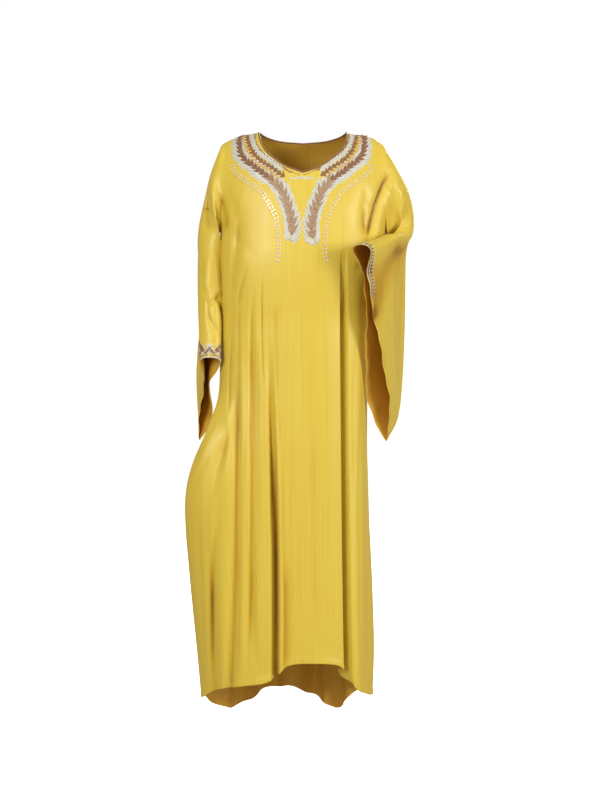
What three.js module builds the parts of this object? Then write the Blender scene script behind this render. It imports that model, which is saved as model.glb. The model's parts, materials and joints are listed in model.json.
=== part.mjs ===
import * as THREE from 'three';

// A boubou of mustard satin, worn: wide front and back panels with dropped shoulders, two open bell
// sleeves sewn on across the upper arm, piping at the neckline and raised embroidery.
// Millimetres. The origin lies between the shoulders at the ends of the neckline, -Y is the front,
// +X the wearer's left and +Z is up.

const FRONT = -1;
const BACK = 1;

// Driving dimensions
const WALL = 2;                  // satin with its hems and seams
const SEAM_GAP = 0.3;           // clear space between two sewn pieces
const SQUARENESS = 2.4;          // 2 would make each level of the body an ellipse
const SHOULDER_Z = -33;          // shoulder point, where the ridge turns down the arm
const UNDERARM_Z = -250;         // where side seam and sleeve meet
const ARMHOLE_DEPTH = 46;        // half the depth of the body at the arm, front to back
const ARM_SLOPE = 0.8;           // 1 would run the panels straight from the chest to the arm
const ARM_FADE = 60;             // above and below the underarm, where that slope fades out
const SOFT_SIDE = [150, 236];    // the cloth is softened between these distances to the side
const SOFT_HEIGHT = [-400, -60]; // and these heights
const SOFT_REACH = 30;
const SOFT_PASSES = 11;
const SIDE_CROWD = 0.4;          // columns at a side seam against those at the middle
const SEAM_REACH = 0.3;          // folds fade out this near to a side seam, in radians
const LEAST_WIDTH = 0.45;        // share of a lobe's width that its creases leave
const RING_ROUND = 34;           // the rings close over this distance from their lowest point
const LEAST_FLAP = 8;            // half the space between the lobes below the arm
const PIPING_RADIUS = 2.2;
const TRIM_WALL = 1.4;           // cuff trim
const TRIM_REST = 0.4;           // what is laid on a panel stays this far off it
const VINE_WALL = 1.6;
const VINE_REST = 0.8;
const LEAF_PITCH = 14;           // one arrow leaf of the vine
const LEAF_HALF_WIDTH = 11;
const STEM_HALF_WIDTH = 3.5;

// Grid sizes
const ARMHOLE_ROWS = 9;
const SKIRT_ROWS = 23;
const FRONT_COLUMNS = 44;
const BACK_COLUMNS = 34;
const SHOULDER_COLUMNS = 4;      // from the neckline to the shoulder point
const ARM_JOIN = 0.27;           // share of the sleeve's length that belongs to the panels
const PANEL_ARM_ROWS = 3;
const SLEEVE_ROWS = 13;
const TRIM_ROWS = 2;
const TRIM_COLUMNS = 3;          // to each side of the sleeve's crest

// Levels of the body: half widths to the wearer's right and left, depths to front and back, and
// how far forward (negative) the side edges lie
const LEVELS = table(
  'z     right left front back rightY leftY',
  [4, 96, 90, 8, 8, 0, 0],
  [-2, 118, 112, 24, 26, 0, 0],
  [-8, 150, 158, 36, 40, 0, 0],
  [-20, 183, 184, 52, 56, 0, 0],
  [-33, 203, 200, 64, 68, 0, 0],
  [-60, 206, 204, 82, 86, 0, 0],
  [-104, 202, 202, 102, 102, 0, 0],
  [-160, 198, 199, 118, 114, 0, 0],
  [-240, 197, 198, 134, 120, 0, 0],
  [-262, 197, 198, 137, 119, 0, 0],
  [-295, 201, 197, 141, 118, 0, 0],
  [-350, 203, 180, 143, 115, 0, 0],
  [-450, 200, 167, 140, 108, 0, 0],
  [-580, 204, 164, 142, 110, -8, 0],
  [-660, 213, 162, 144, 114, -30, 0],
  [-722, 232, 162, 146, 118, -46, 0],
  [-773, 256, 162, 148, 122, -52, 0],
  [-824, 277, 163, 149, 126, -54, 0],
  [-875, 291, 165, 150, 130, -50, 0],
  [-926, 297, 167, 151, 134, -44, 0],
  [-1000, 296, 170, 153, 140, -34, 0],
  [-1100, 289, 175, 156, 148, -22, 0],
  [-1200, 281, 179, 159, 158, -12, 0],
  [-1310, 271, 182, 162, 170, -4, 4],
  [-1430, 261, 178, 164, 184, 0, 8],
  [-1530, 252, 172, 165, 194, 0, 8],
);

// Neckline as seen from the front, from its end on the shoulder ridge to the middle
const FRONT_NECK = table(
  'share x z',
  [0, 112, -1],
  [0.2, 107, -24],
  [0.4, 94, -48],
  [0.6, 70, -69],
  [0.8, 38, -89],
  [1, 0, -102],
);
const BACK_NECK = table(
  'share x z',
  [0, 112, -1],
  [0.3, 92, -14],
  [0.6, 56, -24],
  [1, 0, -29],
);

// Height of the hem against the place across the body
const FRONT_HEM = table(
  'x z',
  [-265, -1432],
  [-227, -1396],
  [-154, -1374],
  [-94, -1362],
  [-66, -1345],
  [-37, -1318],
  [18, -1312],
  [84, -1318],
  [106, -1338],
  [130, -1385],
  [156, -1404],
  [180, -1424],
);
const BACK_HEM = table(
  'x z',
  [-265, -1432],
  [-252, -1470],
  [-220, -1496],
  [-185, -1502],
  [-109, -1464],
  [-35, -1457],
  [43, -1488],
  [88, -1514],
  [112, -1505],
  [150, -1450],
  [180, -1424],
);

// Folds run down the panels: place across at both ends, sideways bow, half width, depth (positive
// goes in, negative stands out), flatness of the bottom, lengths over which the ends fade, and how
// strongly the grid crowds there
const FRONT_FOLDS = table(
  'topX topZ lowX lowZ bow half depth flat fadeTop fadeLow crowd',
  [99, -270, 112, -1350, -2, 9, 44, 4, 330, 0, 7],
  [130, -300, 134, -1400, 3, 16, -9, 2, 200, 0, 0],
  [-90, -430, -70, -1345, 8, 13, 24, 3, 480, 0, 3],
  [-98, -700, -96, -1050, 0, 9, 5, 2, 90, 120, 0],
  [-38, -1080, -34, -1320, 0, 14, 5, 2, 160, 0, 0],
  [-128, -420, -140, -1370, 6, 15, 8, 2, 200, 200, 1],
  [-168, -560, -186, -1380, 8, 17, 15, 2, 220, 0, 1.5],
  [-146, -170, -178, -440, -6, 11, 8, 2, 90, 140, 1],
  [-196, -630, -282, -900, 0, 13, -9, 2, 90, 160, 1],
  [-180, -700, -246, -960, 0, 14, 12, 2, 90, 260, 1],
  [-236, -980, -222, -1400, 0, 13, 7, 2, 200, 0, 0],
  [170, -120, 146, -330, 0, 15, 13, 2, 60, 110, 0],
);
const BACK_FOLDS = table(
  'topX topZ lowX lowZ bow half depth flat fadeTop fadeLow crowd',
  [-118, -260, -136, -1500, 10, 17, 24, 2.5, 420, 0, 2],
  [-62, -420, -60, -1470, -8, 14, 13, 2, 320, 0, 1],
  [6, -240, 4, -1470, 12, 18, 19, 2.5, 520, 0, 2],
  [66, -330, 58, -1490, 6, 14, 17, 2, 380, 0, 1.5],
  [116, -280, 124, -1480, -6, 15, 15, 2, 360, 0, 1.5],
  [-172, -620, -206, -1480, 8, 17, 19, 2, 260, 0, 1.5],
  [34, -820, 30, -1480, 0, 16, -7, 2, 260, 0, 0],
  [-98, -760, -100, -1480, 0, 16, -8, 2, 260, 0, 0],
);

// Rings of the sleeves from armhole (share 0) to opening (share 1): crest point, lowest point,
// heading of the front lobe in degrees from +X, radii of front and back lobe round the arm, slack of
// the two lobes below it, and how late the ring drops
const RIGHT_RINGS = table(
  'share topX topY topZ lowX lowY lowZ turn frontR backR frontSlack backSlack late',
  [0, -203, 0, -33, -196, 0, -250, -90, 46, 46, 0, 0, 1],
  [0.15, -232, -6, -112, -212, 6, -274, -84, 46, 42, 0, 0, 1],
  [0.34, -247, -20, -236, -222, 44, -302, -48, 50, 34, 0, 2, 1],
  [0.55, -244, -48, -346, -242, 92, -410, -42, 52, 26, 2, 8, 1.1],
  [0.8, -236, -76, -470, -264, 110, -624, -22, 36, 22, 10, 14, 1.2],
  [1, -231, -90, -556, -267, 88, -784, -8, 28, 23, 22, 4, 1.2],
);
const LEFT_RINGS = table(
  'share topX topY topZ lowX lowY lowZ turn frontR backR frontSlack backSlack late',
  [0, 200, 0, -33, 196, 0, -250, -90, 46, 46, 0, 0, 1],
  [0.14, 232, 0, -84, 205, 8, -266, -98, 46, 42, 0, 0, 1],
  [0.28, 263, 2, -148, 226, 42, -294, -108, 42, 36, 0, 2, 1],
  [0.41, 267, 0, -212, 244, 82, -354, -126, 43, 26, 2, 4, 1.1],
  [0.54, 251, -34, -248, 255, 94, -470, -152, 58, 20, 4, 5, 1.2],
  [0.7, 212, -94, -252, 253, 60, -620, -188, 34, 22, 12, 5, 1.2],
  [0.85, 173, -160, -264, 240, 4, -716, -203, 32, 26, 20, 8, 1.15],
  [1, 138, -222, -274, 208, -60, -768, -206, 26, 24, 34, 18, 1.1],
);

// Creases across the sleeves: place round the ring (share from crest to lowest point) and along the
// sleeve at both ends, half width, depth
const RIGHT_CREASES = table(
  'lobe aroundA alongA aroundB alongB half depth',
  [FRONT, 0.05, 0.62, 0.42, 0.8, 0.05, 8],
  [BACK, 0.15, 0.4, 0.7, 0.7, 0.07, 6],
  [BACK, 0.3, 0.75, 0.8, 0.95, 0.07, 5],
);
const LEFT_CREASES = table(
  'lobe aroundA alongA aroundB alongB half depth',
  [FRONT, 0.16, 0.24, 0.46, 0.12, 0.07, 10],
  [BACK, 0.2, 0.5, 0.8, 0.8, 0.07, 7],
  [BACK, 0.1, 0.75, 0.4, 0.95, 0.06, 5],
);

// Middle line of the leaf vine beside the neckline, seen from the front, from shoulder to tip
const VINE_LINE = table(
  'share x z',
  [0, 163, -42],
  [0.12, 154, -74],
  [0.26, 124, -100],
  [0.42, 80, -128],
  [0.56, 54, -152],
  [0.7, 40, -184],
  [0.85, 30, -222],
  [1, 30, -270],
);
const VINE_LENGTH = 340;

const SATIN = { color: '#dcc257', roughness: 0.42, metalness: 0 };
const SATIN_BACK = { color: '#d6bb4e', roughness: 0.42, metalness: 0 };
const THREAD_BROWN = { color: '#9a6548', roughness: 0.7, metalness: 0 };
const THREAD_TAUPE = { color: '#a5876a', roughness: 0.6, metalness: 0 };

/** Rows of a table whose columns are named in its first line. */
function table(names, ...rows) {
  const columns = names.split(/\s+/);
  return rows.map((row) => Object.fromEntries(columns.map((name, index) => [name, row[index]])));
}

/** Value of one column of a table at a place along its key column, on a smooth curve. */
function read(rows, key, column, at) {
  const rising = rows[rows.length - 1][key] > rows[0][key] ? 1 : -1;
  let i = 0;
  while (i < rows.length - 2 && (at - rows[i + 1][key]) * rising > 0) i += 1;
  const slope = (k) => {
    const a = rows[Math.max(k - 1, 0)];
    const b = rows[Math.min(k + 1, rows.length - 1)];
    return (b[column] - a[column]) / (b[key] - a[key]);
  };
  const span = rows[i + 1][key] - rows[i][key];
  const t = THREE.MathUtils.clamp((at - rows[i][key]) / span, 0, 1);
  const [p0, p1] = [rows[i][column], rows[i + 1][column]];
  const [m0, m1] = [slope(i) * span, slope(i + 1) * span];
  const t2 = t * t;
  const t3 = t2 * t;
  return (2 * t3 - 3 * t2 + 1) * p0 + (t3 - 2 * t2 + t) * m0 + (3 * t2 - 2 * t3) * p1 + (t3 - t2) * m1;
}

const ease = (t) => THREE.MathUtils.smoothstep(t, 0, 1);
const lerp = THREE.MathUtils.lerp;
const power = (value, exponent) => Math.sign(value) * Math.abs(value) ** exponent;

/** Share of the armhole's height at one of its rows, closer together at the top. */
const armholeShare = (row) => (row / ARMHOLE_ROWS) ** 1.3;

/** Half depth of the armhole at a height. */
function armholeDepth(z) {
  const t = (z - SHOULDER_Z) / (UNDERARM_Z - SHOULDER_Z);
  if (t <= 0 || t >= 1) return 0;
  return ARMHOLE_DEPTH * Math.sin(Math.PI * t) ** 0.6;
}

/** Half width of the body on the side of x at a height. */
function halfWidth(x, z) {
  return read(LEVELS, 'z', x < 0 ? 'right' : 'left', z);
}

/** Angle round the body, 0 at the wearer's left side and PI at the right, of a place across. */
function angleOf(x, z) {
  const share = THREE.MathUtils.clamp(x / halfWidth(x, z), -1, 1);
  return Math.acos(power(share, SQUARENESS / 2));
}

/** How far a fold moves the cloth inwards at a place on a panel. */
function foldDepth(fold, x, z) {
  const away = (x - foldPlace(fold, z)) / fold.half;
  const down = fold.topZ - z;
  const up = z - fold.lowZ;
  const entering = ease(down / fold.fadeTop);
  const leaving = fold.fadeLow > 0 ? ease(up / fold.fadeLow) : 1;
  return fold.depth * entering * leaving * Math.exp(-(Math.abs(away) ** fold.flat));
}

/** Place across of a fold's middle at a height. */
function foldPlace(fold, z) {
  const t = THREE.MathUtils.clamp((z - fold.topZ) / (fold.lowZ - fold.topZ), 0, 1);
  return lerp(fold.topX, fold.lowX, t) + fold.bow * 4 * t * (1 - t);
}

/** Point of a body panel at an angle and a height. face is -1 for the front and 1 for the back. */
function bodyPoint(face, folds, angle, z) {
  const across = power(Math.cos(angle), 2 / SQUARENESS);
  const atArm = ease((z - UNDERARM_Z) / (2 * ARM_FADE) + 0.5);
  const out = Math.abs(Math.sin(angle)) ** (2 * lerp(1 / SQUARENESS, ARM_SLOPE, atArm));
  const width = halfWidth(across, z);
  const depth = read(LEVELS, 'z', face < 0 ? 'front' : 'back', z);
  const edge = read(LEVELS, 'z', across < 0 ? 'rightY' : 'leftY', z) + face * armholeDepth(z);
  const x = across * width;
  const y = edge + (face * depth - edge) * out;
  const offSeam = ease(Math.abs(Math.sin(angle)) / SEAM_REACH);
  const inwards = offSeam * folds.reduce((sum, fold) => sum + foldDepth(fold, x, z), 0);
  const gradient = new THREE.Vector2(
    power(across, SQUARENESS - 1) / width,
    (face * out ** (SQUARENESS - 1)) / Math.max(depth, 1),
  ).normalize();
  return new THREE.Vector3(x - gradient.x * inwards, y - gradient.y * inwards, z);
}

/** Angles of the columns at a height, closer together at the deep folds. */
function columnAngles(folds, columns, z) {
  const steps = 400;
  const density = (angle) => folds.reduce((sum, fold) => {
    if (!fold.crowd) return sum;
    const place = foldPlace(fold, z);
    const spread = (1.5 * fold.half) / halfWidth(place, z);
    return sum + fold.crowd * Math.exp(-(((angle - angleOf(place, z)) / spread) ** 2));
  }, lerp(SIDE_CROWD, 1, Math.sin(angle)));
  const total = [0];
  for (let i = 1; i <= steps; i += 1) {
    total.push(total[i - 1] + density(((i - 0.5) / steps) * Math.PI));
  }
  const angles = [];
  let i = 0;
  for (let column = 0; column <= columns; column += 1) {
    const wanted = (total[steps] * column) / columns;
    while (i < steps - 1 && total[i + 1] < wanted) i += 1;
    angles.push(((i + (wanted - total[i]) / (total[i + 1] - total[i])) / steps) * Math.PI);
  }
  return angles;
}

/** Height at which the shoulder ridge has a half width. */
function ridgeHeight(side, width) {
  let high = LEVELS[0].z;
  let low = SHOULDER_Z;
  for (let i = 0; i < 40; i += 1) {
    const middle = (high + low) / 2;
    if (halfWidth(side, middle) < width) high = middle;
    else low = middle;
  }
  return (high + low) / 2;
}

/** Top edge of a panel: place across and height of each column along its shoulders and neckline. */
function topEdge(neck, columns) {
  return Array.from({ length: columns + 1 }, (_, column) => {
    const side = column < columns / 2 ? 1 : -1;
    const fromEdge = Math.min(column, columns - column);
    if (fromEdge <= SHOULDER_COLUMNS) {
      const width = lerp(halfWidth(side, SHOULDER_Z), neck[0].x, fromEdge / SHOULDER_COLUMNS);
      return { x: side * width, z: fromEdge === 0 ? SHOULDER_Z : ridgeHeight(side, width) };
    }
    const share = (fromEdge - SHOULDER_COLUMNS) / (columns / 2 - SHOULDER_COLUMNS);
    return { x: side * read(neck, 'share', 'x', share), z: read(neck, 'share', 'z', share) };
  });
}

/** Grid of points of a body panel, its first column at the wearer's left side. */
function bodyGrid(face, folds, neck, hem, columns) {
  const top = topEdge(neck, columns);
  const chest = columnAngles(folds, columns, UNDERARM_Z);
  const grid = [];
  for (let row = 0; row <= ARMHOLE_ROWS; row += 1) {
    const t = armholeShare(row);
    grid.push(top.map((edge, column) => {
      const z = lerp(edge.z, UNDERARM_Z, t);
      const chestX = power(Math.cos(chest[column]), 2 / SQUARENESS) * halfWidth(edge.x, UNDERARM_Z);
      const atSide = column === 0 || column === columns;
      const onRidge = row === 0 && Math.abs(edge.x) >= neck[0].x;
      const angle = angleOf(lerp(edge.x, chestX, ease(t)), z);
      return bodyPoint(face, folds, atSide || onRidge ? Math.acos(Math.sign(edge.x)) : angle, z);
    }));
  }
  for (let row = 1; row <= SKIRT_ROWS; row += 1) {
    const t = row / SKIRT_ROWS;
    const middle = lerp(UNDERARM_Z, hem[Math.floor(hem.length / 2)].z, t);
    grid.push(columnAngles(folds, columns, middle).map((angle) => {
      const across = power(Math.cos(angle), 2 / SQUARENESS);
      const bottom = read(hem, 'x', 'z', across * Math.abs(across < 0 ? hem[0].x : hem[hem.length - 1].x));
      return bodyPoint(face, folds, angle, lerp(UNDERARM_Z, bottom, t));
    }));
  }
  return grid;
}

/** Half width of a sleeve's ring at a distance below its crest. */
function lobeWidth(radius, slack, length, t) {
  const below = t * length;
  const arm = below < radius
    ? Math.sqrt(Math.max(radius ** 2 - (radius - below) ** 2, 0))
    : radius * Math.exp(-(((below - radius) / (1.6 * radius)) ** 2));
  const flap = slack * Math.sin(Math.PI * t ** 2.2) ** 0.9 + LEAST_FLAP * ease(t / 0.3);
  const nearLow = Math.max(1 - ((1 - t) * length) / RING_ROUND, 0);
  const closing = Math.sqrt(Math.max(1 - nearLow ** 2, 0));
  return (arm + flap) * closing;
}

/** Point of a sleeve: lobe -1 is its front and 1 its back, around runs from crest to lowest point. */
function ringPoint(rings, creases, lobe, around, along) {
  const at = (column) => read(rings, 'share', column, along);
  const top = new THREE.Vector3(at('topX'), at('topY'), at('topZ'));
  const low = new THREE.Vector3(at('lowX'), at('lowY'), at('lowZ'));
  const turn = THREE.MathUtils.degToRad(at('turn'));
  const sideways = new THREE.Vector3(Math.cos(turn), Math.sin(turn), 0).multiplyScalar(-lobe);
  const radius = at(lobe < 0 ? 'frontR' : 'backR');
  const slack = at(lobe < 0 ? 'frontSlack' : 'backSlack');
  const width = lobeWidth(radius, slack, top.distanceTo(low), around);
  const point = top.clone().lerp(low, around);
  point.z = lerp(top.z, low.z, around ** at('late'));
  const inwards = creases.filter((crease) => crease.lobe === lobe)
    .reduce((sum, crease) => sum + creaseDepth(crease, around, along), 0);
  return point.addScaledVector(sideways, Math.max(width - inwards, width * LEAST_WIDTH));
}

/** Depth of a crease at a place on a sleeve. */
function creaseDepth(crease, around, along) {
  const run = new THREE.Vector2(crease.aroundB - crease.aroundA, crease.alongB - crease.alongA);
  const from = new THREE.Vector2(around - crease.aroundA, along - crease.alongA);
  const t = from.dot(run) / run.lengthSq();
  const away = Math.abs(from.cross(run)) / run.length() / crease.half;
  const fade = ease((t + 0.25) / 0.4) * ease((1.25 - t) / 0.4);
  return crease.depth * fade * Math.exp(-(away ** 2));
}

/** Point of the armhole, where panel and sleeve share it. */
function armholePoint(side, lobe, t) {
  const z = lerp(SHOULDER_Z, UNDERARM_Z, t);
  return new THREE.Vector3(side * halfWidth(side, z), lobe * armholeDepth(z), z);
}

/** Point of a sleeve that starts exactly on the armhole. */
function sleevePoint(side, lobe, step, along) {
  const rings = side < 0 ? RIGHT_RINGS : LEFT_RINGS;
  const creases = side < 0 ? RIGHT_CREASES : LEFT_CREASES;
  const even = armholeShare(step);
  const rounded = (1 - Math.cos((Math.PI * step) / ARMHOLE_ROWS)) / 2;
  const leave = ease(along / ARM_JOIN);
  const around = lerp(even, rounded, leave);
  const point = ringPoint(rings, creases, lobe, around, along);
  const start = armholePoint(side, lobe, even).sub(ringPoint(rings, [], lobe, even, 0));
  return point.addScaledVector(start, 1 - leave);
}

/** Grid of one lobe of a sleeve between two shares of its length. */
function sleeveGrid(side, lobe, from, to, rows) {
  const grid = [];
  for (let row = 0; row <= rows; row += 1) {
    const along = lerp(from, to, row / rows);
    const ring = [];
    for (let step = 0; step <= ARMHOLE_ROWS; step += 1) ring.push(sleevePoint(side, lobe, step, along));
    grid.push(ring);
  }
  return grid;
}

/** A piece of cloth: patches that are joined where they share a point. Sewn pieces share theirs. */
class Cloth {
  static shared = new Map();

  constructor() {
    this.points = [];
    this.keys = [];
    this.faces = [];
    this.found = new Map();
  }

  static key(point) {
    return point.toArray().map((value) => Math.round(value * 1000)).join(' ');
  }

  add(point) {
    const key = Cloth.key(point);
    if (!this.found.has(key)) {
      if (!Cloth.shared.has(key)) Cloth.shared.set(key, point.clone());
      this.found.set(key, this.points.length);
      this.points.push(Cloth.shared.get(key));
      this.keys.push(key);
    }
    return this.found.get(key);
  }

  /** Adds a grid; turned says that its rows and columns run the other way round the outside. */
  patch(grid, turned) {
    for (let row = 0; row + 1 < grid.length; row += 1) {
      for (let column = 0; column + 1 < grid[row].length; column += 1) {
        const a = this.add(grid[row][column]);
        const b = this.add(grid[row][column + 1]);
        const c = this.add(grid[row + 1][column + 1]);
        const d = this.add(grid[row + 1][column]);
        const span = (from, to) => this.points[from].distanceTo(this.points[to]);
        const halves = span(a, c) <= span(b, d) ? [[a, c, b], [a, d, c]] : [[a, d, b], [b, d, c]];
        halves.filter((face) => new Set(face).size === 3)
          .forEach(([p, q, r]) => this.faces.push(turned ? [p, r, q] : [p, q, r]));
      }
    }
    return this;
  }

  /** Normal of each point, from the faces round it. */
  normals() {
    const sums = this.points.map(() => new THREE.Vector3());
    for (const [a, b, c] of this.faces) {
      const [p, q, r] = [this.points[a], this.points[b], this.points[c]];
      const normal = q.clone().sub(p).cross(r.clone().sub(p));
      [a, b, c].forEach((index) => sums[index].add(normal));
    }
    return sums.map((sum) => sum.normalize());
  }

  /** Edges with cloth on one side only, in the direction that keeps it on their left. */
  edges() {
    const open = new Map();
    for (const [a, b, c] of this.faces) {
      for (const [from, to] of [[a, b], [b, c], [c, a]]) {
        if (!open.delete(`${to} ${from}`)) open.set(`${from} ${to}`, [from, to]);
      }
    }
    return [...open.values()];
  }

  /** Closed wall round the cloth; normals may be given by point so that seams match. */
  wall(thickness, offset, sewn = new Map()) {
    const own = this.normals();
    const normals = this.keys.map((key, index) => sewn.get(key) ?? own[index]);
    const edges = this.edges();
    const inwards = this.points.map(() => new THREE.Vector3());
    for (const [from, to] of edges) {
      const run = this.points[to].clone().sub(this.points[from]);
      [from, to].forEach((index) => {
        inwards[index].add(normals[index].clone().cross(run).normalize());
      });
    }
    const count = this.points.length;
    const position = new Float32Array(count * 6);
    this.points.forEach((point, index) => {
      const edge = inwards[index];
      const pull = edge.length() > 0 ? SEAM_GAP / Math.max(edge.length(), 1.2) : 0;
      const middle = point.clone().addScaledVector(edge.normalize(), pull);
      middle.clone().addScaledVector(normals[index], offset + thickness / 2).toArray(position, index * 3);
      middle.addScaledVector(normals[index], offset - thickness / 2).toArray(position, (index + count) * 3);
    });
    const faces = [];
    for (const [a, b, c] of this.faces) faces.push(a, b, c, a + count, c + count, b + count);
    // Sewn edges run opposite ways in their two pieces, so the keys choose the same diagonal
    for (const [a, b] of edges) {
      if (this.keys[a] < this.keys[b]) faces.push(a, a + count, b + count, a, b + count, b);
      else faces.push(a, a + count, b, b, a + count, b + count);
    }
    const geometry = new THREE.BufferGeometry();
    geometry.setAttribute('position', new THREE.BufferAttribute(position, 3));
    geometry.setIndex(faces);
    geometry.computeVertexNormals();
    return geometry;
  }
}

/** How freely a point near the arms moves when the cloth is softened, from 0 to 1. */
function looseness(point) {
  const inside = (value, [low, high]) => ease((value - low) / SOFT_REACH) * ease((high - value) / SOFT_REACH);
  return inside(Math.abs(point.x), SOFT_SIDE) * inside(point.z, SOFT_HEIGHT);
}

/** Softens the pieces round the arms: points move towards the middle of their neighbours. */
function soften(pieces, passes) {
  const around = new Map();
  const faceCount = new Map();
  for (const piece of pieces) {
    for (const face of piece.faces) {
      const points = face.map((index) => piece.points[index]);
      points.forEach((point, corner) => {
        const others = around.get(point) ?? new Set();
        around.set(point, others.add(points[(corner + 1) % 3]).add(points[(corner + 2) % 3]));
        faceCount.set(point, (faceCount.get(point) ?? 0) + 1);
      });
    }
  }
  const loose = [...around.keys()].filter((point) => {
    return around.get(point).size === faceCount.get(point) && looseness(point) > 0;
  });
  for (let pass = 0; pass < passes; pass += 1) {
    const middles = loose.map((point) => {
      const others = [...around.get(point)];
      return others.reduce((sum, other) => sum.add(other), new THREE.Vector3()).divideScalar(others.length);
    });
    loose.forEach((point, index) => point.lerp(middles[index], 0.5 * looseness(point)));
  }
}

/** Normals shared by all pieces at the points where they are sewn together. */
function sewnNormals(pieces) {
  const sums = new Map();
  for (const piece of pieces) {
    piece.normals().forEach((normal, index) => {
      const key = piece.keys[index];
      sums.set(key, (sums.get(key) ?? new THREE.Vector3()).add(normal));
    });
  }
  sums.forEach((sum) => sum.normalize());
  return sums;
}

/** A closed cord through a loop of points, set off each by a vector and shaped round two axes. */
function cordGeometry(centres, axes, radius, sides) {
  const position = [];
  const faces = [];
  centres.forEach((centre, station) => {
    const [u, v] = axes[station];
    for (let side = 0; side < sides; side += 1) {
      const angle = (2 * Math.PI * side) / sides;
      const point = centre.clone()
        .addScaledVector(u, radius * Math.cos(angle))
        .addScaledVector(v, radius * Math.sin(angle));
      position.push(...point.toArray());
      const next = (station + 1) % centres.length;
      const other = (side + 1) % sides;
      const [a, b] = [station * sides + side, station * sides + other];
      const [c, d] = [next * sides + other, next * sides + side];
      faces.push(a, b, c, a, c, d);
    }
  });
  const geometry = new THREE.BufferGeometry();
  geometry.setAttribute('position', new THREE.Float32BufferAttribute(position, 3));
  geometry.setIndex(faces);
  geometry.computeVertexNormals();
  return geometry;
}

/** Piping along the neckline, just clear of the panels' edge. */
function neckPiping(frontGrid, backGrid, normals) {
  const neckOf = (grid) => grid[0].slice(SHOULDER_COLUMNS, grid[0].length - SHOULDER_COLUMNS);
  const loop = [...neckOf(frontGrid), ...neckOf(backGrid).reverse().slice(1, -1)];
  const centres = [];
  const axes = [];
  loop.forEach((point, index) => {
    const before = loop[(index + loop.length - 1) % loop.length];
    const after = loop[(index + 1) % loop.length];
    const run = after.clone().sub(before).normalize();
    const normal = normals.get(Cloth.key(point));
    const away = run.clone().cross(normal).normalize();
    const up = run.clone().cross(away).normalize();
    centres.push(point.clone().addScaledVector(away, PIPING_RADIUS + 2 * SEAM_GAP));
    axes.push([away, up]);
  });
  return cordGeometry(centres, axes, PIPING_RADIUS, 6);
}

/** Band on the sleeve's edge round the crest, on the sleeve's own points. */
function cuffTrim(turned, lobes) {
  const cut = (grid) => grid.slice(-1 - TRIM_ROWS).map((ring) => ring.slice(0, TRIM_COLUMNS + 1));
  return new Cloth().patch(cut(lobes[0]), turned).patch(cut(lobes[1]), !turned);
}

/** Leaf vine laid on the front panel beside the neckline. */
function leafVine(side) {
  const leaves = Math.round(VINE_LENGTH / LEAF_PITCH);
  const lineAt = (share) => new THREE.Vector2(
    side * read(VINE_LINE, 'share', 'x', share),
    read(VINE_LINE, 'share', 'z', share),
  );
  const rows = [];
  for (let i = 0; i <= leaves * 2; i += 1) {
    const leaf = Math.floor(i / 2);
    const wide = i % 2 === 1;
    const share = (leaf + (wide ? 0.32 : 0)) / leaves;
    const taper = share > 0.9 ? 1 - (share - 0.9) * 5 : 1;
    const half = (wide ? LEAF_HALF_WIDTH : STEM_HALF_WIDTH) * taper;
    const line = lineAt(share);
    const run = lineAt(Math.min(share + 0.01, 1)).sub(lineAt(Math.max(share - 0.01, 0))).normalize();
    const back = wide ? LEAF_PITCH * 0.25 : 0;
    rows.push([1, 0, -1].map((place) => {
      const x = line.x - run.y * half * place - run.x * back * Math.abs(place);
      const z = line.y + run.x * half * place - run.y * back * Math.abs(place);
      return bodyPoint(-1, [], angleOf(x, z), z);
    }));
  }
  return new Cloth().patch(rows, true);
}

const frontGrid = bodyGrid(-1, FRONT_FOLDS, FRONT_NECK, FRONT_HEM, FRONT_COLUMNS);
const backGrid = bodyGrid(1, BACK_FOLDS, BACK_NECK, BACK_HEM, BACK_COLUMNS);
const front = new Cloth().patch(frontGrid, true);
const back = new Cloth().patch(backGrid, false);
const sleeves = [-1, 1].map((side) => {
  const turned = side > 0;
  front.patch(sleeveGrid(side, -1, 0, ARM_JOIN, PANEL_ARM_ROWS), turned);
  back.patch(sleeveGrid(side, 1, 0, ARM_JOIN, PANEL_ARM_ROWS), !turned);
  const lobes = [-1, 1].map((lobe) => sleeveGrid(side, lobe, ARM_JOIN, 1, SLEEVE_ROWS));
  const cloth = new Cloth().patch(lobes[0], turned).patch(lobes[1], !turned);
  return { cloth, trim: cuffTrim(turned, lobes) };
});
const sewn = [front, back, sleeves[0].cloth, sleeves[1].cloth];
soften(sewn, SOFT_PASSES);
const normals = sewnNormals(sewn);

const group = new THREE.Group();

/** Adds a named sub-part with its own material. */
function addPart(name, geometry, look) {
  const mesh = new THREE.Mesh(geometry, new THREE.MeshStandardMaterial(look));
  mesh.name = name;
  group.add(mesh);
}

addPart('front_panel', front.wall(WALL, 0, normals), SATIN);
addPart('back_panel', back.wall(WALL, 0, normals), SATIN_BACK);
['right', 'left'].forEach((name, index) => {
  const { cloth, trim } = sleeves[index];
  addPart(`sleeve_${name}`, cloth.wall(WALL, 0, normals), SATIN);
  const lift = (WALL + TRIM_WALL) / 2 + TRIM_REST;
  addPart(`cuff_trim_${name}`, trim.wall(TRIM_WALL, lift, normals), THREAD_BROWN);
  const side = name === 'right' ? -1 : 1;
  const raise = (WALL + VINE_WALL) / 2 + VINE_REST;
  addPart(`vine_${name}`, leafVine(side).wall(VINE_WALL, raise), THREAD_TAUPE);
});
addPart('neck_piping', neckPiping(frontGrid, backGrid, normals), THREAD_BROWN);

export default group;
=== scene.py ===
"""A worn boubou of mustard satin: panels, bell sleeves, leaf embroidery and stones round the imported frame."""

import json
import logging
import math
from dataclasses import dataclass, field
from enum import Enum
from functools import cached_property

import bmesh
import bpy
import numpy as np
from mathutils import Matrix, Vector
from mathutils.bvhtree import BVHTree

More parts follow.
